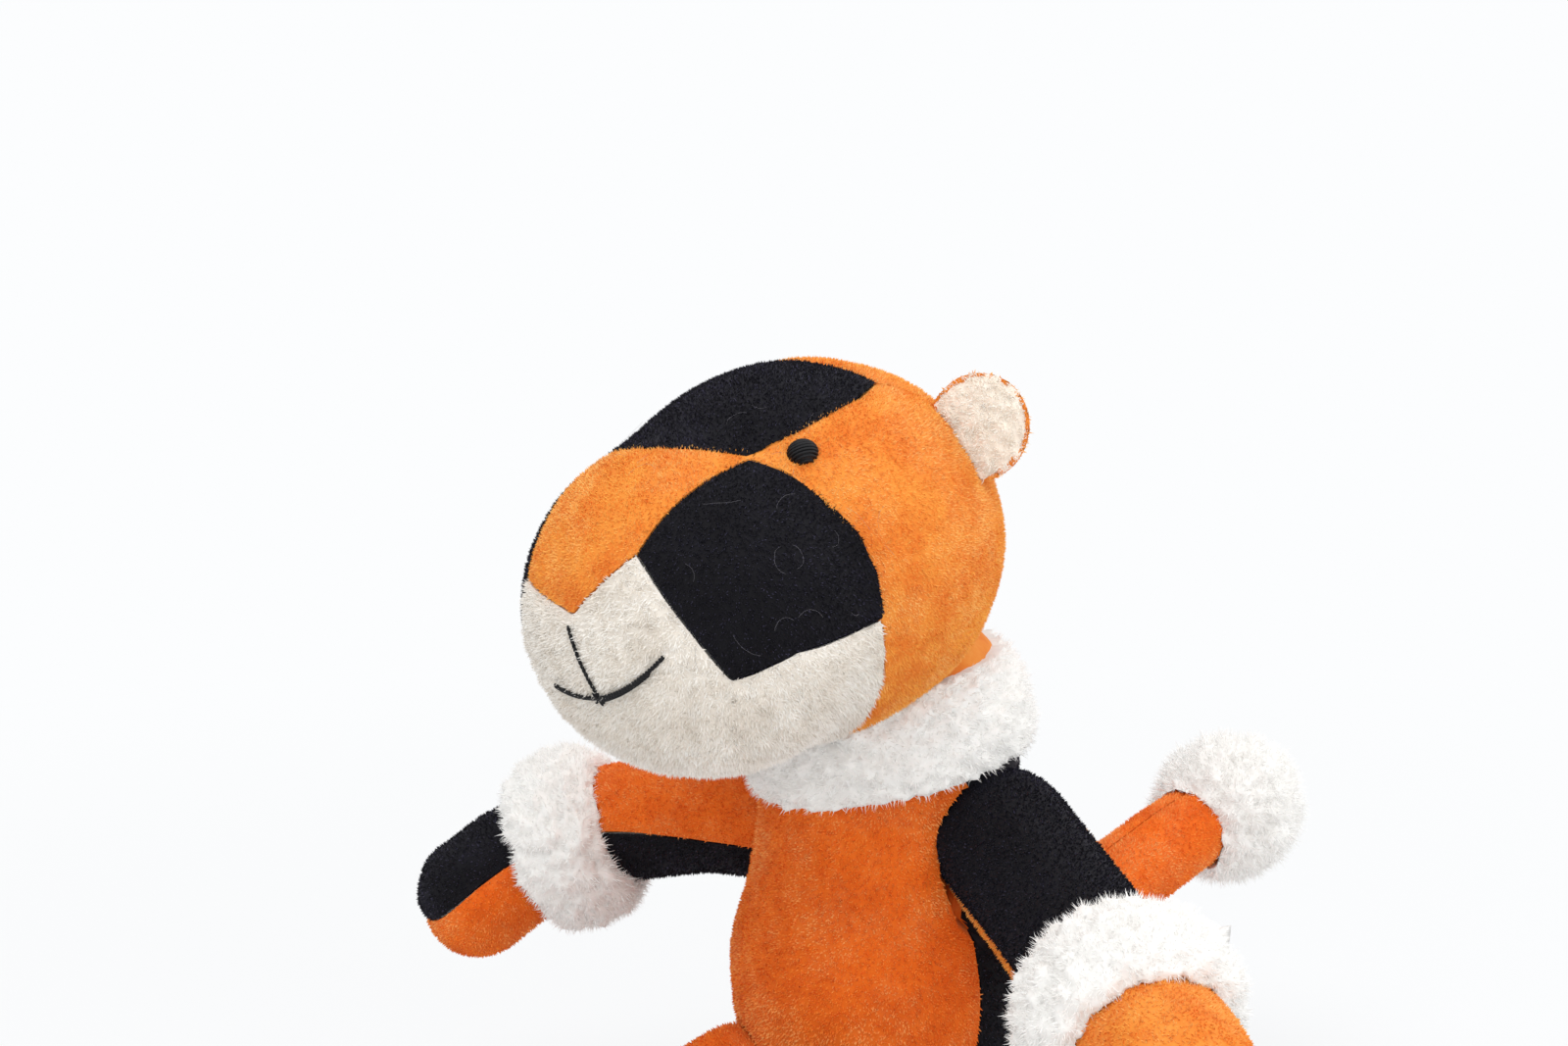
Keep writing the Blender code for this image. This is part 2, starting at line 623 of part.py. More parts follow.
def limb_rings(radii, wrist_share, length, tip_length, depth):
    """Places along a limb and its radii there: a round root, a shaft that swells, a round tip."""
    root, wrist, end = [radius - depth for radius in radii]
    rings = [(-root, 0.0)]
    for row in range(1, ROOT_ROWS + 1):
        angle = row / ROOT_ROWS * pi / 2
        rings.append((-root * cos(angle), root * sin(angle)))
    for row in range(1, SHAFT_ROWS + 1):
        share = row / (SHAFT_ROWS + 1)
        if share < wrist_share:
            radius = eased(root, wrist, share / wrist_share)
        else:
            radius = eased(wrist, end, (share - wrist_share) / (1 - wrist_share))
        rings.append((share * length, radius))
    cap = tip_length - depth
    for row in range(TIP_ROWS):
        angle = row / TIP_ROWS * pi / 2
        rings.append((length + cap * sin(angle), end * cos(angle)))
    return rings + [(length + cap, 0.0)]


def limb_form(points, over, radii, wrist_share, tip_length, depth):
    """A limb's shape at a depth under its cloth: a sphere whose rows become the rings on the bend."""
    length = limb_length(points)
    rings = limb_rings(radii, wrist_share, length, tip_length, depth)
    last = len(rings) - 1
    bm = bmesh.new()
    bmesh.ops.create_uvsphere(bm, u_segments=LIMB_SEGMENTS, v_segments=last, radius=1)
    for vertex in bm.verts:
        row = round(acos(max(-1.0, min(1.0, vertex.co.z))) / pi * last)
        angle = atan2(vertex.co.y, vertex.co.x) + pi / LIMB_SEGMENTS
        place, radius = rings[row]
        middle, way, across, rise = limb_frame(points, place / length, over)
        vertex.co = middle + (across * cos(angle) + rise * sin(angle)) * radius
    return bm


def swung(name, form, root, axis, angle):
    """A limb's room as a cutter, turned about its root."""
    turn = Matrix.Translation(root) @ Matrix.Rotation(angle, 4, axis) @ Matrix.Translation(-root)
    return piece(name, form, frame=turn, group=CUTTERS)


def on_body(shares):
    """A place given as shares of the body's radius, twice, and of the neck's height."""
    return Vector((shares[0] * BODY_RADIUS, shares[1] * BODY_RADIUS, shares[2] * NECK_HEIGHT))


up = Vector((0, 0, 1))
ahead = Vector((0, -1, 0))
left = Vector((1, 0, 0))
ankle_height = LEG_RADII[1] + CLEARANCE + CUFF_THICKNESS - FLAT_DEPTH
foot_height = ankle_height + FOOT_LIFT
hip_weight = (1 - ANKLE_SHARE) ** 2
foot_weight = ANKLE_SHARE ** 2
knee_weight = 1 - hip_weight - foot_weight
arms = {}
legs = {}
limb_rooms = []
for label, side in SIDE_SHARES.items():
    shoulder = on_body(SHOULDERS_SHARES[label])
    elbow = shoulder + UPPER_ARMS[label]
    arms[label] = (shoulder, elbow, elbow + FOREARMS[label])
    hip = on_body(HIP_SHARES)
    hip.x = (LEG_RADII[0] + HIP_GAP) * side
    knee = hip + Vector((THIGH_SPREAD * side, -THIGH_FORWARD, 0))
    foot = knee + Vector((SHIN_SPREAD * side, -SHIN_FORWARD, 0))
    foot.z = foot_height
    knee.z = (ankle_height - hip_weight * hip.z - foot_weight * foot.z) / knee_weight
    legs[label] = (hip, knee, foot)
    arm = (arms[label], ARM_OVERS[label], ARM_RADII[label], WRIST_SHARES[label], PAW_LENGTH)
    leg = (legs[label], up, LEG_RADII, ANKLE_SHARE, FOOT_LENGTH)
    limb_rooms.append((f"arm_{label}", arm, ahead * side, ARM_SWING))
    limb_rooms.append((f"leg_{label}", leg, -left, LEG_SWING))
tail_start = on_body(TAIL_ROOT_SHARES)
tail_points = (tail_start, tail_start + TAIL_RISING, tail_start + TAIL_RISING + TAIL_LEVEL)
tail_shape = (tail_points, left, (TAIL_RADIUS, TAIL_RADIUS, TAIL_RADIUS), TAIL_EVEN_SHARE, TAIL_RADIUS)
limb_rooms.append(("tail", tail_shape, left, TAIL_SWING))
sockets = []
for name, (points, hint, *shape), axis, swing in limb_rooms:
    socket_radius = shape[0][0] + SOCKET_CLEARANCE
    sockets.append(ball(f"{name}_socket", points[0], socket_radius, SOCKET_SEGMENTS, SOCKET_ROWS))
    for angle in sorted({0, *swing}):
        form = limb_form(points, upright(points, hint), *shape, -CLEARANCE)
        sockets.append(swung(f"{name}_room", form, points[0], axis, angle))


# Body
def body_form(depth):
    """The body's pear shape at a depth under its cloth."""
    low, high = [share * NECK_HEIGHT for share in BODY_END_SHARES]
    rings = [(share * NECK_HEIGHT, swell * BODY_RADIUS - depth)
             for share, swell in zip(BODY_HEIGHT_SHARES, BODY_SWELL_SHARES)]
    rings = [(low + depth, 0)] + rings + [(high - depth, 0)]
    last = len(rings) - 1
    bm = bmesh.new()
    bmesh.ops.create_uvsphere(bm, u_segments=BODY_SEGMENTS, v_segments=last, radius=1)
    for vertex in bm.verts:
        row = last - round(acos(max(-1.0, min(1.0, vertex.co.z))) / pi * last)
        angle = atan2(vertex.co.y, vertex.co.x) + pi / BODY_SEGMENTS
        height, radius = rings[row]
        half_depth = (radius + depth) * BODY_DEPTH_SHARE - depth if radius else 0
        vertex.co = (cos(angle) * radius, sin(angle) * half_depth, height)
    return bm


collar_seat = NECK_FRAME @ Vector((0, 0, -COLLAR_DEPTH - CLEARANCE))
neck_way = NECK_TURN.to_3x3() @ Vector((0, 0, 1))
below_collar = (collar_seat, neck_way)
seat_top = Vector((0, 0, CLOTH))

seat = piece("seat_panel", body_form(0), "black_velour")
carve(seat, block("seat_cut", [(Vector(), -up), (seat_top, up)]), "INTERSECT")
body_skin = hollow("body_skin", body_form(0), body_form(CLOTH))
for name, slot, way in (("belly_panel", "orange_velour", -1), ("back_panel", "black_velour", 1)):
    side_seam = (ahead * (BODY_SEAM_FORWARD - edge * way), ahead * way)
    planes = [(seat_top + up * SEAM_GAP, -up), below_collar, side_seam]
    panel(name, body_skin, slot, block(f"{name}_cut", planes), sockets)
body_stuffing = piece("body_stuffing", body_form(CLOTH + CLEARANCE), "stuffing")
carve(body_stuffing, block("stuffing_cut", [(seat_top + up * CLEARANCE, -up), below_collar]), "INTERSECT")
for cutter in sockets:
    carve(body_stuffing, cutter)


# Limbs
def cuff(name, joint, middle, way, bore, room):
    """A fleece band round a wrist or an ankle: a fat ring with round edges, bored by the limb's room."""
    inner = bore * CUFF_BORE_SHARE
    outer = bore + CLEARANCE + CUFF_THICKNESS
    half = CUFF_WIDTH / 2
    profile = [(inner, half * CUFF_EDGE_SHARE)]
    for row in range(CUFF_ROWS):
        angle = pi / 2 - (row + 0.5) / CUFF_ROWS * pi
        profile.append((inner + (outer - inner) * sqrt(cos(angle)), half * sin(angle)))
    profile.append((inner, -half * CUFF_EDGE_SHARE))
    frame = Matrix.Translation(middle) @ way.to_track_quat("Z", "Y").to_matrix().to_4x4()
    return carve(turned(name, profile, CUFF_SEGMENTS, "white_fleece", joint, frame, ring=True), room)


def limb(kind, label, points, hint, radii, wrist_share, tip_length, names, top_slots):
    """An arm or a leg: stuffing, a sleeve and an end of two panels each, and a fleece cuff."""
    sleeve, tip, band = names
    joint = hinge(f"{kind}_{label}_root", points[0])
    over = upright(points, hint)
    skin = hollow(f"{kind}_{label}_skin", limb_form(points, over, radii, wrist_share, tip_length, 0),
                  limb_form(points, over, radii, wrist_share, tip_length, CLOTH), joint)
    middle, way = limb_frame(points, wrist_share, over)[:2]
    for half_name, outward in (("top", -over), ("bottom", over)):
        for part_name, along in ((sleeve, way), (tip, -way)):
            planes = [(points[0] - outward * edge, outward), (middle - along * edge, along)]
            name = f"{part_name}_{label}_{half_name}"
            slot = top_slots[(half_name == "top") != (part_name == sleeve)]
            panel(name, skin, slot, block(f"{name}_cut", planes))
    core = limb_form(points, over, radii, wrist_share, tip_length, CLOTH + CLEARANCE)
    piece(f"{kind}_{label}_stuffing", core, "stuffing", joint)
    room = limb_form(points, over, radii, wrist_share, tip_length, -CLEARANCE)
    room = piece(f"{kind}_{label}_room", room, group=CUTTERS)
    return cuff(f"{band}_{label}", joint, middle, way, radii[1], room)


top_slots = {"L": ("black_velour", "orange_velour"), "R": ("orange_velour", "black_velour")}
above_floor = block("above_floor", [(Vector(), -up)])
for label in SIDE_SHARES:
    limb("arm", label, arms[label], ARM_OVERS[label], ARM_RADII[label], WRIST_SHARES[label], PAW_LENGTH,
         ("sleeve", "paw", "cuff"), top_slots[label])
    band = limb("leg", label, legs[label], up, LEG_RADII, ANKLE_SHARE, FOOT_LENGTH,
                ("leg", "foot", "anklet"), top_slots[label])
    carve(band, above_floor, "INTERSECT")

# Tail
tail_joint = hinge("tail_root", tail_start)


def tail_form(depth):
    """The tail's shape at a depth under its cloth: a round rod with a round root and end."""
    return limb_form(*tail_shape, depth)


tail_skin = hollow("tail_skin", tail_form(0), tail_form(CLOTH), tail_joint)
middle, way = limb_frame(tail_points, TUFT_SHARE, left)[:2]
for name, outward in (("tail_left", -left), ("tail_right", left)):
    planes = [(tail_start - outward * edge, outward)]
    panel(name, tail_skin, "orange_velour", block(f"{name}_cut", planes))
piece("tail_stuffing", tail_form(CLOTH + CLEARANCE), "stuffing", tail_joint)
tail_room = piece("tail_room", tail_form(-CLEARANCE), group=CUTTERS)
bm = bmesh.new()
bmesh.ops.create_uvsphere(bm, u_segments=TUFT_SEGMENTS, v_segments=TUFT_ROWS, radius=1)
for vertex in bm.verts:
    vertex.co = (vertex.co.x * TUFT_RADIUS, vertex.co.y * TUFT_RADIUS, vertex.co.z * TUFT_LENGTH / 2)
tuft_frame = Matrix.Translation(middle) @ way.to_track_quat("Z", "Y").to_matrix().to_4x4()
carve(piece("tail_tuft", bm, "white_fleece", tail_joint, tuft_frame), tail_room)

# Label
bm = bmesh.new()
bmesh.ops.create_grid(bm, x_segments=LABEL_STEPS, y_segments=1, size=0.5)
seam_foot = Vector((sin(LABEL_PLACE), cos(LABEL_PLACE) * BODY_DEPTH_SHARE, 0))
seam_foot *= BODY_RADIUS * LABEL_SEAM_SHARE
seam_foot += seam_foot.normalized() * (CLEARANCE + LABEL_THICKNESS / 2)
run = Vector((sin(LABEL_TURN), cos(LABEL_TURN), 0))
label_height = LABEL_HEIGHT_SHARE * NECK_HEIGHT
for vertex in bm.verts:
    share = vertex.co.x + 0.5
    sideways = Vector((run.y, -run.x, 0)) * LABEL_BOW * sin(2 * pi * share)
    rise = up * (label_height + vertex.co.y * LABEL_WIDTH + LABEL_RISE * share * share)
    vertex.co = seam_foot + run * LABEL_LENGTH * share + sideways + rise
label_ribbon = piece("label", bm, "label_satin")
solid = label_ribbon.modifiers.new("thickness", "SOLIDIFY")
solid.thickness = LABEL_THICKNESS
solid.offset = 0
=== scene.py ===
"""The looks of a small plush tiger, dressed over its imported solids.

Velour panels over stuffing, fleece bands and a bare satin label, each laid on the smooth form of the
piece that it covers, with its pile as real fibres. Metres, +Z up, the face towards -Y.
"""
import random
from math import acos, atan2, cos, exp, pi, radians, sin, sqrt

import bmesh
import bpy
from mathutils import Matrix, Vector, noise
from mathutils.bvhtree import BVHTree
from mathutils.kdtree import KDTree


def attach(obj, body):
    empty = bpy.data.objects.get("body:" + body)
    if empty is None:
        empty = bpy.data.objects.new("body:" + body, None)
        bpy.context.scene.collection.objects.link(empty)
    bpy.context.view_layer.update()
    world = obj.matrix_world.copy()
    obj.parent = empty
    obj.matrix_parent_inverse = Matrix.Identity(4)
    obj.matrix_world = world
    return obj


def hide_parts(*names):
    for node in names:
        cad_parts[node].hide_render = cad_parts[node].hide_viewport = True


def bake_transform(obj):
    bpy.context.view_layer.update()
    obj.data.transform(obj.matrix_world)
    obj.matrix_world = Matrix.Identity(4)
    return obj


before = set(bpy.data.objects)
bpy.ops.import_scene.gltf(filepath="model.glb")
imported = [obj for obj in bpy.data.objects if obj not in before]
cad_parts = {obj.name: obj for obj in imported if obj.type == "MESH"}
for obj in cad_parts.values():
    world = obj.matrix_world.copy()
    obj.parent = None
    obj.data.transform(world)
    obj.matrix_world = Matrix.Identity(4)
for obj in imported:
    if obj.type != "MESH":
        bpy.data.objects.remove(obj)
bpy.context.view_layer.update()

# The photograph's view: a long lens a little above the toy's shoulder, on its left, looking slightly
# down. Nothing is shifted and nothing is out of focus.
VIEW_PLACE = Vector((0.24597, -0.25405, 0.15072))
VIEW_TURN = radians(46.4)
VIEW_DIP = radians(8)
LENS = 59.06
NEAREST = 0.01

flat = Vector((-sin(VIEW_TURN), cos(VIEW_TURN), 0))
sideways = Vector((cos(VIEW_TURN), sin(VIEW_TURN), 0))
rising = Vector((0, 0, 1))
ahead = flat * cos(VIEW_DIP) - rising * sin(VIEW_DIP)
upwards = flat * sin(VIEW_DIP) + rising * cos(VIEW_DIP)
camera = bpy.data.objects.new("camera", bpy.data.cameras.new("camera"))
camera.data.lens = LENS
camera.data.clip_start = NEAREST
camera.matrix_world = (Matrix.Translation(VIEW_PLACE)
                       @ Matrix((sideways, upwards, -ahead)).transposed().to_4x4())
bpy.context.scene.collection.objects.link(camera)
bpy.context.scene.camera = camera


class Dye:
    """A value or a colour in a node tree, whose sums are written as Python sums."""

    def __init__(self, tree, socket=None):
        self.tree = tree
        self.socket = socket

    def add(self, kind, settings=None, inputs=None, output=0):
        """Adds a node, makes its settings, feeds its sockets and gives one of its outputs."""
        node = self.tree.nodes.new(kind)
        for name, value in (settings or {}).items():
            setattr(node, name, value)
        for key, value in (inputs or {}).items():
            if isinstance(value, Dye):
                self.tree.links.new(value.socket, node.inputs[key])
            else:
                node.inputs[key].default_value = value
        return Dye(self.tree, node.outputs[output]) if node.outputs else node

    def sum(self, operation, first, second):
        """A Math node on two values."""
        return self.add("ShaderNodeMath", {"operation": operation}, {0: first, 1: second})

    def __add__(self, other):
        return self.sum("ADD", self, other)

    def __radd__(self, other):
        return self.sum("ADD", other, self)

    def __sub__(self, other):
        return self.sum("SUBTRACT", self, other)

    def __rsub__(self, other):
        return self.sum("SUBTRACT", other, self)

    def __mul__(self, other):
        return self.sum("MULTIPLY", self, other)

    def __rmul__(self, other):
        return self.sum("MULTIPLY", other, self)

    def eased(self, low, high):
        """This value from 0 at low to 1 at high, with soft ends."""
        settings = {"interpolation_type": "SMOOTHSTEP"}
        return self.add("ShaderNodeMapRange", settings, {0: self, 1: low, 2: high, 3: 0.0, 4: 1.0})

    def between(self, first, second):
        """The mix of two colours by this value."""
        return self.add("ShaderNodeMix", {"data_type": "RGBA"}, {0: self, 6: first, 7: second}, 2)

    def mottle(self, scale, detail, roughness=0.5):
        """Noise through the object's own space."""
        place = self.add("ShaderNodeTexCoord", output="Object")
        return self.add("ShaderNodeTexNoise", {}, {
            "Vector": place, "Scale": scale, "Detail": detail, "Roughness": roughness})

    def seen_itself(self):
        """1 for what the camera sees itself or in a gloss, and 0 for light that falls elsewhere."""
        return self.sum("MAXIMUM", self.add("ShaderNodeLightPath", output="Is Camera Ray"),
                        self.add("ShaderNodeLightPath", output="Is Glossy Ray"))

    def surface(self, inputs, kind="ShaderNodeBsdfPrincipled"):
        """Ends a material with a shader."""
        self.add("ShaderNodeOutputMaterial", {}, {"Surface": self.add(kind, {}, inputs)})


def colour(code):
    """A colour written as red, green and blue in hex, for a socket."""
    values = [int(code[start:start + 2], 16) / 255 for start in (1, 3, 5)]
    return (*[v / 12.92 if v <= 0.04045 else ((v + 0.055) / 1.055) ** 2.4 for v in values], 1)


def blank(name):
    """An empty material, and a pen for its nodes."""
    material = bpy.data.materials.new(name)
    material.use_nodes = True
    material.node_tree.nodes.clear()
    return material, Dye(material.node_tree)


# The studio: a pale floor that keeps a soft shadow, a white surround, one broad lamp high on the
# left in front, a weaker one on the right and one behind.
FLOOR_HALF = 3.0
FLOOR_COLOUR = colour("#E9EAEB")
FLOOR_GLOW = 0.72
FLOOR_NEAR = 0.12
FLOOR_FAR = 0.42
SURROUND_LIGHT = 0.74
PLAIN_WHITE = colour("#FCFDFE")
LAMPS = (("key", (0.20, -0.46, 1.05), 0.70, 4.4), ("fill", (0.90, -0.30, 0.45), 0.80, 2.3),
         ("back", (0.30, 0.85, 0.75), 0.60, 2.8))
LAMP_AIM = Vector((0, 0, 0.07))

bpy.context.scene.view_settings.view_transform = "Standard"
surround = bpy.data.worlds.new("surround")
bpy.context.scene.world = surround
surround.use_nodes = True
surround.node_tree.nodes.clear()
pen = Dye(surround.node_tree)
soft = pen.add("ShaderNodeBackground", {}, {"Color": (1, 1, 1, 1), "Strength": SURROUND_LIGHT})
white = pen.add("ShaderNodeBackground", {}, {"Color": PLAIN_WHITE, "Strength": 1.0})
both = pen.add("ShaderNodeMixShader", {}, {0: pen.seen_itself(), 1: soft, 2: white})
pen.add("ShaderNodeOutputWorld", {}, {"Surface": both})

bpy.ops.mesh.primitive_plane_add(size=2 * FLOOR_HALF)
floor = bpy.context.object
floor.name = "floor"
paper, pen = blank("floor_paper")
glow = pen.add("ShaderNodeEmission", {}, {"Color": PLAIN_WHITE, "Strength": 1.0})
matt = pen.add("ShaderNodeBsdfDiffuse", {}, {"Color": FLOOR_COLOUR})
place = pen.add("ShaderNodeTexCoord", output="Object")
away = pen.add("ShaderNodeVectorMath", {"operation": "LENGTH"}, {0: place}, "Value")
share = pen.seen_itself() * (FLOOR_GLOW + (1 - FLOOR_GLOW) * away.eased(FLOOR_NEAR, FLOOR_FAR))
pen.surface({0: share, 1: matt, 2: glow}, "ShaderNodeMixShader")
floor.data.materials.append(paper)

for name, place, size, power in LAMPS:
    light = bpy.data.lights.new(name, "AREA")
    light.size = size
    light.energy = power
    lamp = bpy.data.objects.new(name, light)
    lamp.location = place
    lamp.rotation_euler = (Vector(place) - LAMP_AIM).to_track_quat("Z", "Y").to_euler()
    bpy.context.scene.collection.objects.link(lamp)


# The head: a rounded skull with a muzzle that grows out of its front, leaned back a little on the neck.
# Panels are cut from cloth and sewn edge to edge over it, and it is packed tight with polyester fibre.
NECK = Vector((0, 0, 0.0720))
HEAD_OFFSET = Vector((0, -0.0177, 0.0270))
HEAD_LEAN = radians(10.8)
HEAD_TILT = radians(-6.3)
SKULL_HALF = Vector((0.02625, 0.02955, 0.02534))
MUZZLE_HALF = Vector((0.02443, 0.01811, 0.02047))
MUZZLE_PLACE = Vector((0, -0.0202, -0.0022))
FORM_BLEND = 8
CLOTH = 0.0011
UNEVEN = 0.00022
UNEVEN_SIZE = 0.0075
SEAM_DIP = 0.00025
SEAM_REACH = 0.0014
SEAM_NEAR = 0.0030
RIM_STEP = 0.0005
SAME_PLACE = 1e-6
SPLIT_ROUNDS = 6
FINE_EDGE = 0.0009
COARSE_EDGE = 0.0020
HIDDEN_EDGE = 0.0040
FACING = 0.55
LEVEL = 0.90
SLANT = 0.0004
FIBRE_DEPTH = 1.3 * CLOTH

neck_turn = Matrix.Rotation(HEAD_LEAN, 4, "X") @ Matrix.Rotation(HEAD_TILT, 4, "Y")
head_frame = Matrix.Translation(NECK + HEAD_OFFSET) @ neck_turn


def exit_from(way, centre, half):
    """How far a ray from the skull's middle runs until it leaves an ellipsoid, or 0."""
    across = Vector([way[i] / half[i] for i in range(3)])
    start = Vector([-centre[i] / half[i] for i in range(3)])
    slope = across.dot(start)
    inside = slope * slope - across.dot(across) * (start.dot(start) - 1)
    return max(0.0, (sqrt(inside) - slope) / across.dot(across)) if inside > 0 else 0.0


def on_head(way):
    """The head's surface in a direction from the middle of the skull."""
    way = way.normalized()
    skull = exit_from(way, Vector(), SKULL_HALF)
    muzzle = exit_from(way, MUZZLE_PLACE, MUZZLE_HALF)
    return way * (skull ** FORM_BLEND + muzzle ** FORM_BLEND) ** (1 / FORM_BLEND)


def form(segments, rows, place, stand=Matrix.Identity(4)):
    """A smooth form to lay cloth on: a fine sphere whose points are put in place by a rule."""
    bm = bmesh.new()
    bmesh.ops.create_uvsphere(bm, u_segments=segments, v_segments=rows, radius=1)
    for vertex in bm.verts:
        vertex.co = stand @ place(vertex.co)
    bm.normal_update()
    tree = BVHTree.FromBMesh(bm)
    bm.free()
    return tree


def refined(bm, longest):
    """Splits the edges that are longer than a rule allows, until none is."""
    for _ in range(SPLIT_ROUNDS):
        long = [edge for edge in bm.edges if edge.calc_length() > longest(edge)]
        if not long:
            return
        bmesh.ops.subdivide_edges(bm, edges=long, cuts=1)
        bmesh.ops.triangulate(bm, faces=[face for face in bm.faces if len(face.verts) > 3])


def unevenness(place):
    """How far the packed fibre pushes the cloth out or lets it sink at a place."""
    return noise.noise(place / UNEVEN_SIZE) * UNEVEN


def laid(node, smooth, dip=SEAM_DIP, lining=CLOTH, shift=None, fine=FINE_EDGE, coarse=COARSE_EDGE,
         lumps=unevenness, crisp=True):
    """A fine copy of a packed panel, laid on its smooth form and drawn in along its seams.

    A face of the panel is its outside or its inside where it faces along the form's normal, and a wall
    where it stands across it (FACING) or where it leans (LEVEL) and runs from one depth to another
    (SLANT). Only the outside has a pile. Where the rim is crisp, the pile there stands as on the rest
    of the panel and doesn't lean over the seam.
    """
    bm = bmesh.new()
    bm.from_mesh(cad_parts[node].data)
    bmesh.ops.remove_doubles(bm, verts=bm.verts, dist=SAME_PLACE)
    sort = bm.faces.layers.int.new("sort")
    depth = {}
    for vertex in bm.verts:
        spot, normal = smooth.find_nearest(vertex.co)[:2]
        depth[vertex] = (spot - vertex.co).dot(normal)
    for face in bm.faces:
        out = smooth.find_nearest(face.calc_center_median())[1].dot(face.normal)
        depths = [depth[vertex] for vertex in face.verts]
        wall = lining and abs(out) < LEVEL and max(depths) - min(depths) > SLANT
        face[sort] = 0 if wall or abs(out) < FACING else (1 if out > 0 else -1)
    rims = []
    for edge in bm.edges:
        sorts = {face[sort] for face in edge.link_faces}
        if sorts == {0, 1}:
            steps = max(1, round(edge.calc_length() / RIM_STEP))
            first, second = [vertex.co for vertex in edge.verts]
            rims += [first.lerp(second, step / steps) for step in range(steps + 1)]
    seams = KDTree(max(1, len(rims)))
    for number, rim in enumerate(rims):
        seams.insert(rim, number)
    seams.balance()

    def from_seam(place):
        return seams.find(place)[2] if rims else 1.0

    def longest(edge):
        if all(face[sort] != 1 for face in edge.link_faces):
            return HIDDEN_EDGE
        return fine if from_seam((edge.verts[0].co + edge.verts[1].co) / 2) < SEAM_NEAR else coarse

    refined(bm, longest)
    nap = bm.faces.layers.float.new("nap")
    for vertex in bm.verts:
        sorts = {face[sort] for face in vertex.link_faces}
        gap = from_seam(vertex.co)
        place = shift(vertex.co) if shift else vertex.co
        spot, normal = smooth.find_nearest(place)[:2]
        valley = exp(-(gap / SEAM_REACH) ** 2)
        if 1 in sorts:
            vertex.co = spot + normal * (lumps(spot) - dip * valley)
        elif -1 in sorts and lining:
            vertex.co = spot - normal * lining
        elif shift:
            before, out = smooth.find_nearest(vertex.co)[:2]
            vertex.co = spot + normal * (vertex.co - before).dot(out)
        vertex.co.z = max(0.0, vertex.co.z)
    for face in bm.faces:
        face[nap] = 1.0 if face[sort] == 1 else 0.0
        face.smooth = True
    for edge in bm.edges:
        edge.smooth = not crisp or len({face[sort] == 1 for face in edge.link_faces}) < 2
    return bm


def solid(name, bm):
    """An object of a shape made in place."""
    mesh = bpy.data.meshes.new(name)
    bm.to_mesh(mesh)
    bm.free()
    piece = bpy.data.objects.new(name, mesh)
    bpy.context.scene.collection.objects.link(piece)
    return piece


def wadding(name, node, body, smooth, covers=(), cover=None, joined=None):
    """The packed fibre of one stuffed form, just under its cloth, which may cover it in places."""
    piece = solid(name, laid(node, smooth, 0, None, fine=COARSE_EDGE,
                             lumps=lambda place: unevenness(place) - FIBRE_DEPTH))
    piece.data.materials.clear()
    for finish in (fibre, *covers):
        piece.data.materials.append(finish)
    if cover:
        for face in piece.data.polygons:
            face.material_index = cover(face.center)
    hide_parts(node)
    if joined:
        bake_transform(piece)
    else:
        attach(piece, body)


fibre, pen = blank("polyester_fibre")
strands = pen.mottle(1600.0, 3.0)
fluff = strands.eased(0.3, 0.7).between(colour("#CFCFCA"), colour("#F2F2EF"))
bump = pen.add("ShaderNodeBump", {}, {"Height": strands, "Strength": 0.6, "Distance": 0.0004})
pen.surface({"Base Color": fluff, "Roughness": 1.0, "Normal": bump})

head_form = form(192, 128, on_head, head_frame)


# Velour: a knitted cloth with a short cut pile, over half a millimetre long, in orange and black. The pile
# lies a little down and swirls where it was handled. Its colour has painted shade at the roots, between the
# fibres, painted shade and painted highlights in broad patches, and painted glints on the ends of some
# fibres.
PILE_LENGTH = 0.00062
PILE_WIDTH = 0.00018
PILE_DENSITY = 11e6
PILE_SINK = 0.00012
PILE_LEAN = 0.30
PILE_SWIRL = 1.0
PILE_SWIRL_SIZE = 0.0032
PILE_STRAY = 0.50
PILE_REACH = (0.6, 1.15)
BLADE_SIDES = 3
BLADE_FLATNESS = 0.45


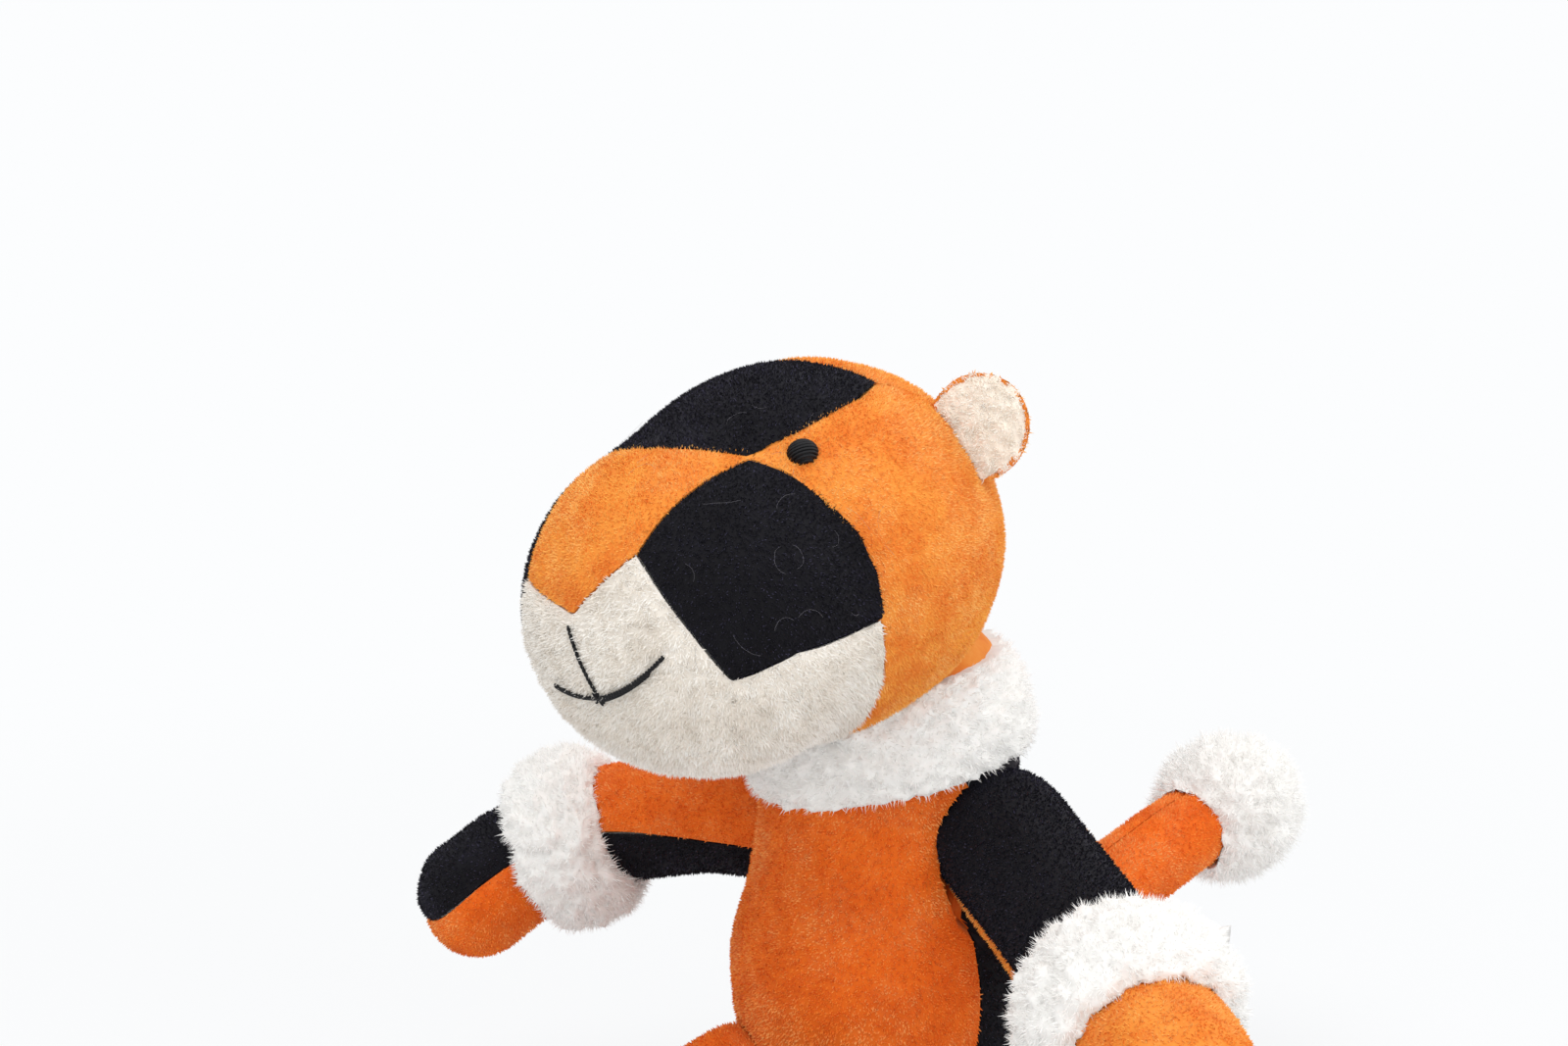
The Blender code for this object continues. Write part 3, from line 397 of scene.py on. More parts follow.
def pile_tree():
    """Fibres on the outer faces of a piece of cloth, each a thin closed blade that leans with the nap."""
    tree = bpy.data.node_groups.new("pile", "GeometryNodeTree")
    for name, kind, default in (
            ("Cloth", "NodeSocketGeometry", None), ("Density", "NodeSocketFloat", PILE_DENSITY),
            ("Length", "NodeSocketFloat", PILE_LENGTH), ("Width", "NodeSocketFloat", PILE_WIDTH),
            ("Joints", "NodeSocketInt", 1), ("Curl", "NodeSocketFloat", 0.0),
            ("Comb", "NodeSocketVector", (0, 0, -PILE_LEAN)), ("Swirl", "NodeSocketFloat", PILE_SWIRL),
            ("Swirl Size", "NodeSocketFloat", PILE_SWIRL_SIZE), ("Stray", "NodeSocketFloat", PILE_STRAY),
            ("Thread", "NodeSocketObject", None), ("Clearing", "NodeSocketFloat", 0.0),
            ("Seed", "NodeSocketInt", 1), ("Finish", "NodeSocketMaterial", None)):
        socket = tree.interface.new_socket(name, in_out="INPUT", socket_type=kind)
        if default is not None:
            socket.default_value = default
    tree.interface.new_socket("Cloth", in_out="OUTPUT", socket_type="NodeSocketGeometry")
    pen = Dye(tree)
    group = tree.nodes.new("NodeGroupInput")
    given = {socket.name: Dye(tree, socket) for socket in group.outputs if socket.name}

    def vector(operation, first, second):
        key = "Scale" if operation == "SCALE" else 1
        return pen.add("ShaderNodeVectorMath", {"operation": operation}, {0: first, key: second})

    def drawn(kind, low, high, seed):
        keys, output = ((0, 1), 0) if kind == "FLOAT_VECTOR" else ((2, 3), 1)
        return pen.add("FunctionNodeRandomValue", {"data_type": kind},
                       {keys[0]: low, keys[1]: high, "Seed": seed}, output)

    def stored(kind, domain, geometry, name, value):
        return pen.add("GeometryNodeStoreNamedAttribute", {"data_type": kind, "domain": domain},
                       {"Geometry": geometry, "Name": name, "Value": value})

    nap = pen.add("GeometryNodeInputNamedAttribute", {"data_type": "FLOAT"}, {"Name": "nap"})
    scatter = tree.nodes.new("GeometryNodeDistributePointsOnFaces")
    tree.links.new(given["Cloth"].socket, scatter.inputs["Mesh"])
    tree.links.new((given["Density"] * nap).socket, scatter.inputs["Density"])
    tree.links.new(given["Seed"].socket, scatter.inputs["Seed"])
    normal = Dye(tree, scatter.outputs["Normal"])
    sunk = vector("SCALE", normal, -PILE_SINK)
    kept = stored("FLOAT_VECTOR", "POINT", Dye(tree, scatter.outputs["Points"]), "outwards", normal)
    points = pen.add("GeometryNodeSetPosition", {}, {"Geometry": kept, "Offset": sunk})
    outwards = pen.add("GeometryNodeInputNamedAttribute", {"data_type": "FLOAT_VECTOR"},
                       {"Name": "outwards"})
    spot = pen.add("GeometryNodeInputPosition")
    thread = pen.add("GeometryNodeObjectInfo", {"transform_space": "ORIGINAL"}, {"Object": given["Thread"]},
                     "Geometry")
    away = pen.add("GeometryNodeProximity", {"target_element": "POINTS"}, {0: thread}, "Distance")
    buried = pen.add("FunctionNodeCompare", {"data_type": "FLOAT", "operation": "LESS_THAN"},
                     {0: away, 1: given["Clearing"]})
    points = pen.add("GeometryNodeDeleteGeometry", {"domain": "POINT"},
                     {"Geometry": points, "Selection": buried})
    size = pen.add("ShaderNodeCombineXYZ", {}, {axis: given["Swirl Size"] for axis in range(3)})
    close = vector("DIVIDE", spot, size)
    wave = pen.add("ShaderNodeTexNoise", {}, {"Vector": close, "Scale": 1.0, "Detail": 1.0}, "Color")
    swirl = vector("SCALE", vector("SUBTRACT", wave, (0.5, 0.5, 0.5)), given["Swirl"])
    loose = drawn("FLOAT_VECTOR", (-1, -1, -1), (1, 1, 1), given["Seed"])
    loose = vector("SCALE", loose, given["Stray"])
    way = vector("ADD", vector("ADD", vector("ADD", outwards, given["Comb"]), swirl), loose)
    turned = pen.add("FunctionNodeAxesToRotation", {"primary_axis": "Z", "secondary_axis": "Y"},
                     {0: way, 1: outwards})
    blade = pen.add("GeometryNodeMeshCone", {"fill_type": "NGON"},
                    {"Vertices": BLADE_SIDES, "Side Segments": given["Joints"], "Radius Top": 0.0,
                     "Radius Bottom": given["Width"], "Depth": given["Length"]}, "Mesh")
    height = pen.add("ShaderNodeSeparateXYZ", {}, {0: spot}, "Z")
    share = pen.sum("DIVIDE", height, given["Length"])
    bow = pen.add("ShaderNodeCombineXYZ", {}, {1: share * share * given["Length"] * given["Curl"]})
    blade = pen.add("GeometryNodeSetPosition", {}, {"Geometry": blade, "Offset": bow})
    blade = stored("FLOAT", "POINT", blade, "tip", share)
    reach = drawn("FLOAT", *PILE_REACH, given["Seed"] + 1)
    scale = pen.add("ShaderNodeCombineXYZ", {}, {0: 1.0, 1: BLADE_FLATNESS, 2: reach})
    blades = pen.add("GeometryNodeInstanceOnPoints", {},
                     {"Points": points, "Instance": blade, "Rotation": turned, "Scale": scale})
    blades = stored("FLOAT", "INSTANCE", blades, "tone", drawn("FLOAT", 0.0, 1.0, given["Seed"] + 2))
    blades = pen.add("GeometryNodeRealizeInstances", {}, {"Geometry": blades})
    join = tree.nodes.new("GeometryNodeJoinGeometry")
    tree.links.new(given["Cloth"].socket, join.inputs[0])
    tree.links.new(blades.socket, join.inputs[0])
    dressed = pen.add("GeometryNodeSetMaterial", {},
                      {"Geometry": Dye(tree, join.outputs[0]), "Material": given["Finish"]})
    leave = tree.nodes.new("NodeGroupOutput")
    tree.links.new(dressed.socket, leave.inputs[0])
    return tree


PILE = pile_tree()


def velour(name, shade, deep, body, highlight, patch_low=0.42, patch_high=0.60, flecks=0.4):
    """A finish for piled cloth: the body colour along the fibres, painted shade at their roots and on all
    bare cloth, painted shade in broad patches, painted highlights in other patches, painted glints on the
    ends of some fibres, and a fine grain in the root colour."""
    material, pen = blank(name)
    tip, tone = [pen.add("ShaderNodeAttribute", {"attribute_name": attribute}, output="Fac")
                 for attribute in ("tip", "tone")]
    patches = pen.mottle(130.0, 3.0, 0.65)
    grain = pen.mottle(1500.0, 1.0)
    shade_mask = pen.mottle(150.0, 4.0, 0.7)
    # The root colour is painted shade between the fibres; bare cloth, with no fibre, takes it almost whole.
    along = tip.eased(-0.25, 0.75)
    cloth = along.between(colour(deep), colour(body))
    # Painted shade in broad patches, less towards the fibres' ends.
    cloth = (shade_mask.eased(0.60, 0.36) * (0.60 - 0.25 * tip)).between(cloth, colour(shade))
    # Painted highlights in patches.
    pale = patches.eased(patch_low, patch_high) * (0.25 + 0.75 * tone) * (0.35 + 0.65 * tip.eased(0.0, 0.9))
    cloth = pale.between(cloth, colour(highlight))
    cloth = (grain.eased(0.62, 0.40) * 0.45 * (1 - tone)).between(cloth, colour(deep))
    # Painted glints on the ends of some fibres.
    cloth = (tone.eased(0.72, 1.0) * tip.eased(0.3, 0.9) * flecks).between(cloth, colour(highlight))
    pen.surface({"Base Color": cloth, "Roughness": 0.85, "Specular IOR Level": 0.25, "Sheen Weight": 0.25,
                 "Sheen Roughness": 0.5, "Sheen Tint": colour(highlight)})
    return material


# Each velour's colours, in order: its painted shade, its painted root shade, its own body colour and its
# painted highlight.
ORANGE_VELOUR = velour("orange_velour", "#DD6418", "#EA8C34", "#F6B250", "#FCCC7C", flecks=0.50)
# A darker copy of the same orange velour, painted shade, for the belly, the tail and the right arm and leg.
SHADED_ORANGE_VELOUR = velour("shaded_orange_velour", "#D2500A", "#E5650F", "#F88E33", "#FDBB70",
                            flecks=0.45)
BLACK_VELOUR = velour("black_velour", "#040306", "#07060B", "#111017", "#53506A", 0.50, 1.0, 0.8)


def plain(piece):
    """Turns what a piece's modifiers show into its own plain mesh."""
    bpy.context.view_layer.update()
    mesh = bpy.data.meshes.new_from_object(piece.evaluated_get(bpy.context.evaluated_depsgraph_get()))
    piece.modifiers.clear()
    before = piece.data
    piece.data = mesh
    bpy.data.meshes.remove(before)


def napped(piece, finish, **given):
    """Grows a piece's pile, keeps it above the floor and makes the whole a plain mesh."""
    modifier = piece.modifiers.new("pile", "NODES")
    modifier.node_group = PILE
    given["Finish"] = finish
    for socket in PILE.interface.items_tree:
        if socket.in_out == "INPUT" and socket.name in given:
            modifier[socket.identifier] = given[socket.name]
    plain(piece)
    for vertex in piece.data.vertices:
        vertex.co.z = max(0.0, vertex.co.z)


def sewn(name, node, body, smooth, finish, slot, joined=None, shift=None, lumps=unevenness, dip=SEAM_DIP,
         lining=CLOTH, coarse=COARSE_EDGE, crisp=True, **pile):
    """One piece of cloth over its packed panel, with its pile, riding on its body, or fixed where it stands
    when it is joined.
    """
    piece = solid(name, laid(node, smooth, dip, lining, shift, coarse=coarse, lumps=lumps, crisp=crisp))
    napped(piece, finish, **pile)
    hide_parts(node)
    if joined:
        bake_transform(piece)
    else:
        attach(piece, body)


# The head's fibre and its orange and black panels, of velour sewn edge to edge. The cloth is turned in
# round the neck, so that no fibre shows there.
TURNED_IN = 0.026
HEAD_COMB = (0.0, 0.20, -0.20)


def round_neck(place):
    """Which cloth covers the head's fibre at a place: none, or orange velour round the neck."""
    return 1 if (place - NECK).length < TURNED_IN else 0


wadding("head_wadding", "head_stuffing", "head", head_form, (ORANGE_VELOUR,), round_neck)
for number, (name, node, finish, slot) in enumerate((
        ("nose_bridge", "bridge", ORANGE_VELOUR, "orange_velour"),
        ("brow", "forehead", BLACK_VELOUR, "black_velour"),
        ("crown_skin", "crown", ORANGE_VELOUR, "orange_velour"),
        ("left_cheek", "cheek_L", BLACK_VELOUR, "black_velour"),
        ("right_cheek", "cheek_R", BLACK_VELOUR, "black_velour"),
        ("left_temple", "temple_L", ORANGE_VELOUR, "orange_velour"),
        ("right_temple", "temple_R", ORANGE_VELOUR, "orange_velour"))):
    sewn(name, node, "head", head_form, finish, slot, Comb=HEAD_COMB, Seed=number)

# The muzzle and chin: a panel of cream cloth with a longer pile that lies in clumped rows, sewn in
# between the others. Its pile is cleared away under the stitches of the mouth.
CREAM_LENGTH = 0.00095
CREAM_DENSITY = 10e6
# Its colours: painted shade, painted root shade, body colour and painted highlight.
CREAM_PLUSH = velour("cream_plush", "#DBD2C6", "#E8E0D5", "#F8F4EE", "#FFFEFB", 0.35, 0.60)
CREAM_LUMP = 0.00026
CREAM_LUMP_SIZE = 0.0026
CREAM_ROWS = 2.4
STITCH_CLEARING = 0.00045
KNOT_SHARES = (0.072, -1.292, -0.296)
STITCH_TOP_SHARES = (-0.020, -1.297, 0.075)
MOUTH_LEFT_SHARES = (0.522, -1.212, -0.091)
MOUTH_RIGHT_SHARES = (-0.419, -1.249, -0.200)
MOUTH_SAG = 0.0008
STITCH_STEPS = 40
THREAD_LIFT = 0.00035


def in_skull(shares):
    """A place given as shares of the skull's half sizes."""
    return Vector([share * half for share, half in zip(shares, SKULL_HALF)])


def over_muzzle(first, second, sag, lift):
    """A line of thread over the muzzle between two places, which sags between them."""
    line = []
    for step in range(STITCH_STEPS + 1):
        share = step / STITCH_STEPS
        place = first.lerp(second, share)
        place.z -= 4 * sag * share * (1 - share)
        skin = on_head(place)
        line.append(head_frame @ (skin + skin.normalized() * lift))
    return line


knot = in_skull(KNOT_SHARES)
mouth_lines = [over_muzzle(knot, in_skull(MOUTH_LEFT_SHARES), MOUTH_SAG, THREAD_LIFT),
               over_muzzle(knot, in_skull(MOUTH_RIGHT_SHARES), MOUTH_SAG, THREAD_LIFT)]
philtrum_line = over_muzzle(knot, in_skull(STITCH_TOP_SHARES), 0, THREAD_LIFT)
bm = bmesh.new()
for line in (*mouth_lines, philtrum_line):
    for place in line:
        bm.verts.new(place)
thread_marks = solid("thread_marks", bm)


def clumped(place):
    """How far the cream cloth stands out at a place, in small clumps that lie in wavy rows."""
    row = Vector((place.x, place.y, place.z * CREAM_ROWS)) / CREAM_LUMP_SIZE
    return unevenness(place) + noise.noise(row) * CREAM_LUMP


sewn("muzzle_skin", "muzzle", "head", head_form, CREAM_PLUSH, "cream_velour", Comb=(0.0, 0.10, -0.15),
     lumps=clumped, coarse=FINE_EDGE, Length=CREAM_LENGTH, Width=0.00017, Density=CREAM_DENSITY,
     Swirl=2.0, Thread=thread_marks, Clearing=STITCH_CLEARING, **{"Swirl Size": 0.0016})
bpy.data.objects.remove(thread_marks)


# Stitches and eyes: black embroidery thread of two plies. The mouth is sewn through the muzzle in long
# stitches, and each eye is a dome of threads laid side by side.
THREAD_RADIUS = 0.00018
THREAD_PLY_TURN = 0.0011
THREAD_SIDES = 6
THREAD_FINENESS = 4
THREAD_END = 0.45
PLY_APART = 0.75
ASKEW = Vector((0.31, 0.17, 0.94))
MOUTH_STRANDS = (2, 1)
MOUTH_CUTS = (1, 11)
STRAND_DROP = 0.00035
KNOT_TURNS = (-2.5, -1.2, -0.6, 0.5, 2.2)
KNOT_REACH = 0.0011
KNOT_LIFT = 0.0002
EYE_RADIUS = 0.0017
EYE_THREAD = 0.00020
EYE_ROWS = 9
EYE_STEPS = 14
EYE_SHARES = (0.678, -0.369, 0.635)


def square_to(line, number):
    """Two directions across a line at one of its points."""
    way = (line[min(number + 1, len(line) - 1)] - line[max(number - 1, 0)]).normalized()
    across = way.cross(ASKEW).normalized()
    return across, way.cross(across)


def spun(bm, line, radius, sides=THREAD_SIDES):
    """One ply of thread along a line: a closed tube with narrow ends."""
    rings = []
    for number, place in enumerate(line):
        across, over = square_to(line, number)
        thin = THREAD_END if number in (0, len(line) - 1) else 1.0
        rings.append([bm.verts.new(place + (across * cos(2 * pi * side / sides)
                                            + over * sin(2 * pi * side / sides)) * radius * thin)
                      for side in range(sides)])
    for first, second in zip(rings, rings[1:]):
        for side in range(sides):
            after = (side + 1) % sides
            bm.faces.new((first[side], first[after], second[after], second[side])).smooth = True
    bm.faces.new(list(reversed(rings[0])))
    bm.faces.new(rings[-1])


def twisted(bm, line, radius):
    """Two plies wound round each other along a line."""
    run = 0.0
    runs = [0.0]
    for first, second in zip(line, line[1:]):
        run += (second - first).length
        runs.append(run)
    for ply in (0, pi):
        wound = []
        for number, place in enumerate(line):
            across, over = square_to(line, number)
            angle = 2 * pi * runs[number] / THREAD_PLY_TURN + ply
            wound.append(place + (across * cos(angle) + over * sin(angle)) * radius * PLY_APART)
        spun(bm, wound, radius)


THREAD_FINISH, pen = blank("black_thread")
fuzz = pen.mottle(6000.0, 2.0)
shade = fuzz.eased(0.35, 0.7).between(colour("#060608"), colour("#17171C"))
bump = pen.add("ShaderNodeBump", {}, {"Height": fuzz, "Strength": 0.4, "Distance": 0.0001})
pen.surface({"Base Color": shade, "Roughness": 0.60, "Normal": bump, "Specular IOR Level": 0.3})


def dense(line):
    """A line with more points, so that its plies wind smoothly."""
    return [first.lerp(second, step / THREAD_FINENESS) for first, second in zip(line, line[1:])
            for step in range(THREAD_FINENESS)] + [line[-1]]


def threaded(name, bm, body, *nodes):
    """A finished piece of thread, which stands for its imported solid."""
    piece = solid(name, bm)
    piece.data.materials.append(THREAD_FINISH)
    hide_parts(*nodes)
    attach(piece, body)


bm = bmesh.new()
for line, strands, cut in zip(mouth_lines, MOUTH_STRANDS, MOUTH_CUTS):
    for strand in range(strands):
        drop = Vector((0, 0, -STRAND_DROP * strand))
        kept = line[2 * strand:-cut - 8 * strand]
        twisted(bm, dense([place + drop for place in kept]), THREAD_RADIUS)
for turn in KNOT_TURNS:
    end = knot + Vector((cos(turn), 0, sin(turn))) * KNOT_REACH
    spun(bm, over_muzzle(knot, end, KNOT_LIFT, THREAD_LIFT + KNOT_LIFT)[::8], THREAD_RADIUS * 0.8)
threaded("mouth_thread", bm, "head", "mouth_stitch")
bm = bmesh.new()
twisted(bm, dense(philtrum_line[1:]), THREAD_RADIUS * 0.85)
threaded("lip_thread", bm, "head", "philtrum_stitch")

for label, side in (("L", 1), ("R", -1)):
    middle = on_head(in_skull((EYE_SHARES[0] * side, *EYE_SHARES[1:])))
    out = middle.normalized()
    across = out.cross(Vector((0, 0, 1))).normalized()
    over = out.cross(across)
    bm = bmesh.new()
    for row in range(EYE_ROWS):
        offset = (row + 0.5) / EYE_ROWS * 2 - 1
        half = sqrt(1 - offset * offset) * (EYE_RADIUS + EYE_THREAD)
        line = []
        for step in range(EYE_STEPS + 1):
            angle = pi * (step / EYE_STEPS)
            line.append(head_frame @ (middle + over * offset * EYE_RADIUS + across * cos(angle) * half
                                      + out * (sin(angle) * half - EYE_THREAD)))
        spun(bm, line, EYE_THREAD)
    bmesh.ops.create_uvsphere(bm, u_segments=16, v_segments=10, radius=EYE_RADIUS,
                              matrix=Matrix.Translation(head_frame @ middle))
    threaded(f"eye_dome_{label}", bm, "head", f"eye_{label}")


# Ears: a round flap of orange velour sewn to a face of cream looped cloth, whose edge rolls forward. Each
# is sewn into the head's seam along a short straight root.
EAR_RADIUS = 0.0081
EAR_THICKNESS = 0.0034
EAR_STAND = 0.30
EAR_LIFT = 0.0007
EAR_ROLL = 0.0036
EAR_DIP = 0.0001
EAR_PILE = 0.0008
EAR_TOP_SHARES = (0.541, 0.521, 0.659)
EAR_BOTTOM_SHARES = (0.857, 0.508, 0.130)
EAR_FACING_SHARES = (0.45, -0.85, 0.20)
BOUCLE_LUMP = 0.00042
BOUCLE_LUMP_SIZE = 0.0015
BOUCLE_EDGE = 0.0005
# Its colours: painted shade, painted root shade, body colour and painted highlight.
CREAM_BOUCLE = velour("cream_boucle", "#EADFD0", "#F4EADC", "#FFFAF2", "#FFFEFA", 0.35, 0.60)


def ear_frame(side):
    """An ear's place: X along its root, Y out of its back, Z the way it stands."""
    mirrored = [in_skull((shares[0] * side, *shares[1:]))
                for shares in (EAR_TOP_SHARES, EAR_BOTTOM_SHARES, EAR_FACING_SHARES)]
    ends = [on_head(mirrored[0]), on_head(mirrored[1])]
    root = on_head(ends[0] + ends[1])
    along = (ends[1] - ends[0]).normalized() * side
    facing = (mirrored[2] - along * mirrored[2].dot(along)).normalized()
    turn = Matrix((along, -facing, along.cross(-facing))).transposed().to_4x4()
    return Matrix.Translation(root + root.normalized() * EAR_LIFT) @ turn


for label, side in (("L", 1), ("R", -1)):
    place = ear_frame(side)
    outwards = 1 if place.col[2].to_3d().dot(place.translation) > 0 else -1
    stand = head_frame @ place
    back_to_ear = stand.inverted()
    centre = Vector((0, 0, EAR_RADIUS * EAR_STAND * outwards))
    ear_form = form(64, 48, lambda p: Vector((p.x * EAR_RADIUS, p.y * EAR_THICKNESS / 2, p.z * EAR_RADIUS))
                    + centre, stand)

    def rolled(spot):
        """Where a place on the ear goes when its edge rolls forward."""
        inside = back_to_ear @ spot
        share = min(1.0, (inside - centre).length / EAR_RADIUS)
        return stand @ (inside - Vector((0, EAR_ROLL * share ** 4, 0)))

    sewn(f"ear_back_{label}", f"ear_{label}_back", f"ear_{label}", ear_form, ORANGE_VELOUR, "orange_velour",
         shift=rolled, lining=None, dip=EAR_DIP, crisp=False, Length=EAR_PILE, Comb=(0.0, 0.0, 0.0),
         Seed=20 + side)
    sewn(f"ear_face_{label}", f"ear_{label}_face", f"ear_{label}", ear_form, CREAM_BOUCLE, "cream_velour",
         shift=rolled, lining=None, dip=EAR_DIP, crisp=False,
         lumps=lambda p: BOUCLE_LUMP * noise.noise(p / BOUCLE_LUMP_SIZE), coarse=BOUCLE_EDGE,
         Length=EAR_PILE, Joints=2, Curl=1.4, Width=0.00015, Density=13e6, Stray=1.4, Comb=(0.0, 0.0, 0.0),
         Seed=22 + side)


# Neck: a thick band of white fleece with short curled tufts, gathered into lumps round the stuffing of
# the neck and sewn down along its edges.
COLLAR_RADIUS = 0.0205
FLEECE_LENGTH = 0.0010
FLEECE_WIDTH = 0.00012
FLEECE_DENSITY = 4.8e6
FLEECE_LUMP = 0.00125
FLEECE_LUMP_SIZE = 0.0029
FLEECE_EDGE = 0.0007
# Its colours: painted shade, painted root shade, body colour and painted highlight.
WHITE_FLEECE = velour("white_fleece", "#ECEAE7", "#F3F2EF", "#FCFBF9", "#FFFFFF", 0.35, 0.60)


def gathered(place):
    """How far the fleece stands out in its round lumps at a place."""
    bent = place + noise.noise_vector(place / FLEECE_LUMP_SIZE / 2) * FLEECE_LUMP_SIZE / 2
    round_lump = 0.7 - noise.voronoi(bent / FLEECE_LUMP_SIZE)[0][0] * 1.4
    return FLEECE_LUMP * (round_lump + 0.5 * noise.noise(place / FLEECE_LUMP_SIZE * 3))


def fleece(name, node, body, smooth, lumps=gathered, length=FLEECE_LENGTH, seed=0, density=FLEECE_DENSITY):
    """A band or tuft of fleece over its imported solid."""
    sewn(name, node, body, smooth, WHITE_FLEECE, "white_fleece", lumps=lumps, dip=0, lining=None,
         crisp=False, coarse=FLEECE_EDGE, Length=length, Width=FLEECE_WIDTH, Joints=2, Curl=1.9,
         Stray=1.6, Swirl=2.6, Comb=(0.0, 0.0, 0.0), Density=density, Seed=seed,
         **{"Swirl Size": 0.0012})


BODY_SEAM_FORWARD = 0.0035
neck_frame = Matrix.Translation(NECK) @ neck_turn
neck_form = form(96, 64, lambda p: p * COLLAR_RADIUS, neck_frame)


def neck_cloth(place):
    """Which cloth covers the neck at a place: the head's above the band, the body's below it."""
    if (place - NECK).dot(neck_turn.col[2].to_3d()) > 0:
        return 1
    return 2 if place.y < -BODY_SEAM_FORWARD else 3


wadding("neck_wadding", "neck_stuffing", "torso", neck_form,
        (ORANGE_VELOUR, SHADED_ORANGE_VELOUR, BLACK_VELOUR), neck_cloth)
fleece("collar_band", "collar", "collar", neck_form, seed=30)


# Body: a pear of stuffing on a flat seat, with an orange belly, a black back and a black seat of velour
# sewn edge to edge. The limbs and the tail are sewn on at round roots.
BODY_RADIUS = 0.0220
BODY_DEPTH = 0.98
SHOULDERS = {"L": Vector((0.019294, 0.002596, 0.059328)), "R": Vector((-0.019998, -0.001496, 0.055008))}
HIP = Vector((0.0104, -0.019206, 0.021024))
TAIL_ROOT = Vector((0.0, 0.022792, 0.025488))
LIMB_COVER = 0.018
TAIL_COVER = 0.014
SEAT_FORM = 4 * BODY_RADIUS
SEAT_SUNK = 0.0004
SEAT_PILE = 0.0005
BODY_HEIGHT_SHARES = (-0.05, 0.0, 0.07, 0.17, 0.28, 0.40, 0.53, 0.61, 0.71, 0.83, 1.0, 1.14)
BODY_SWELL_SHARES = (0.0, 0.760, 0.870, 0.925, 0.935, 0.960, 1.0, 0.968, 0.880, 0.815, 0.780, 0.0)


def threads_through(values, place):
    """A smooth curve through values, read at a place counted in values."""
    last = len(values) - 1
    index = min(int(place), last - 1)
    share = place - index
    before, first, second, after = [values[max(0, min(last, index + step))] for step in (-1, 0, 1, 2)]
    return first + 0.5 * share * (second - before + share * (
        2 * before - 5 * first + 4 * second - after + share * (3 * (first - second) + after - before)))


def on_body(way):
    """The body's surface where a fine sphere's point goes."""
    place = (1 - acos(max(-1.0, min(1.0, way.z))) / pi) * (len(BODY_HEIGHT_SHARES) - 1)
    height = threads_through(BODY_HEIGHT_SHARES, place) * NECK.z
    radius = max(0.0, threads_through(BODY_SWELL_SHARES, place)) * BODY_RADIUS
    angle = atan2(way.y, way.x)
    return Vector((cos(angle) * radius, sin(angle) * radius * BODY_DEPTH, height))


def under_roots(place):
    """Which cloth covers the body's fibre at a place: none, or under a limb's root orange or black."""
    roots = (*SHOULDERS.values(), HIP, Vector((-HIP.x, HIP.y, HIP.z)))
    near = any((place - root).length < LIMB_COVER for root in roots)
    if not near and (place - TAIL_ROOT).length >= TAIL_COVER:
        return 0
    return 1 if place.y < -BODY_SEAM_FORWARD else 2


body_form = form(128, 132, on_body)
wadding("body_wadding", "body_stuffing", "torso", body_form, (SHADED_ORANGE_VELOUR, BLACK_VELOUR),
        under_roots)
# The belly takes the darker copy of the orange velour: painted shade.
sewn("belly_skin", "belly_panel", "torso", body_form, SHADED_ORANGE_VELOUR, "orange_velour", Seed=40,
     Density=7.6e6, Width=0.00023)
sewn("back_skin", "back_panel", "torso", body_form, BLACK_VELOUR, "black_velour", Seed=41,
     Density=5.5e6, Width=0.00025)
seat_form = form(32, 24, lambda p: p * SEAT_FORM, Matrix.Translation((0, 0, SEAT_FORM)))
sewn("seat_skin", "seat_panel", "torso", seat_form, BLACK_VELOUR, "black_velour", Seed=42, dip=0,
     lumps=lambda p: -SEAT_SUNK, lining=None, Length=SEAT_PILE, Density=4e6)


# Arms and legs: a bent sleeve that swells and narrows, of a top and a bottom piece of velour, and a paw
# or foot of two more beyond the cuff, packed firmly. They are sewn on at a round root.
ARM_RADII = {"L": (0.0096, 0.0096, 0.0110), "R": (0.0082, 0.0088, 0.0092)}
PAW_LENGTH = 0.0095
WRIST_SHARES = {"L": 0.69, "R": 0.64}
UPPER_ARMS = {"L": Vector((0.0269, -0.0092, -0.0105)), "R": Vector((-0.0320, -0.0065, -0.0002))}
FOREARMS = {"L": Vector((0.0183, -0.0104, -0.0076)), "R": Vector((-0.0095, -0.0170, -0.0143))}
ARM_OVERS = {"L": Vector((0, -0.59, 0.81)), "R": Vector((0, -0.35, 0.94))}
LEG_RADII = (0.0092, 0.0094, 0.0108)
FOOT_LENGTH = 0.0090
ANKLE_SHARE = 0.62
KNEE = Vector((0.0165, -0.038006, 0.0))
FOOT = Vector((0.0190, -0.057006, 0.0148))
ANKLE_HEIGHT = 0.0142
CUFF_WIDTH = 0.0145
CUFF_INNER = 0.75
CUFF_OUT = 0.0048
LIMB_STEPS = 64
CAP_SHARE = 0.2
LIMB_JOIN = 1.3
LIMB_PILE_WIDTH = 0.00021
LIMB_PILE_DENSITY = 8e6
TWIST_REACH = 0.42
ROOT_TUCK = 0.0022
ROOT_REACH = 0.20
FOLD = 0.00060
FOLD_LENGTH = 0.016
FOLD_WIDTH = 0.0045


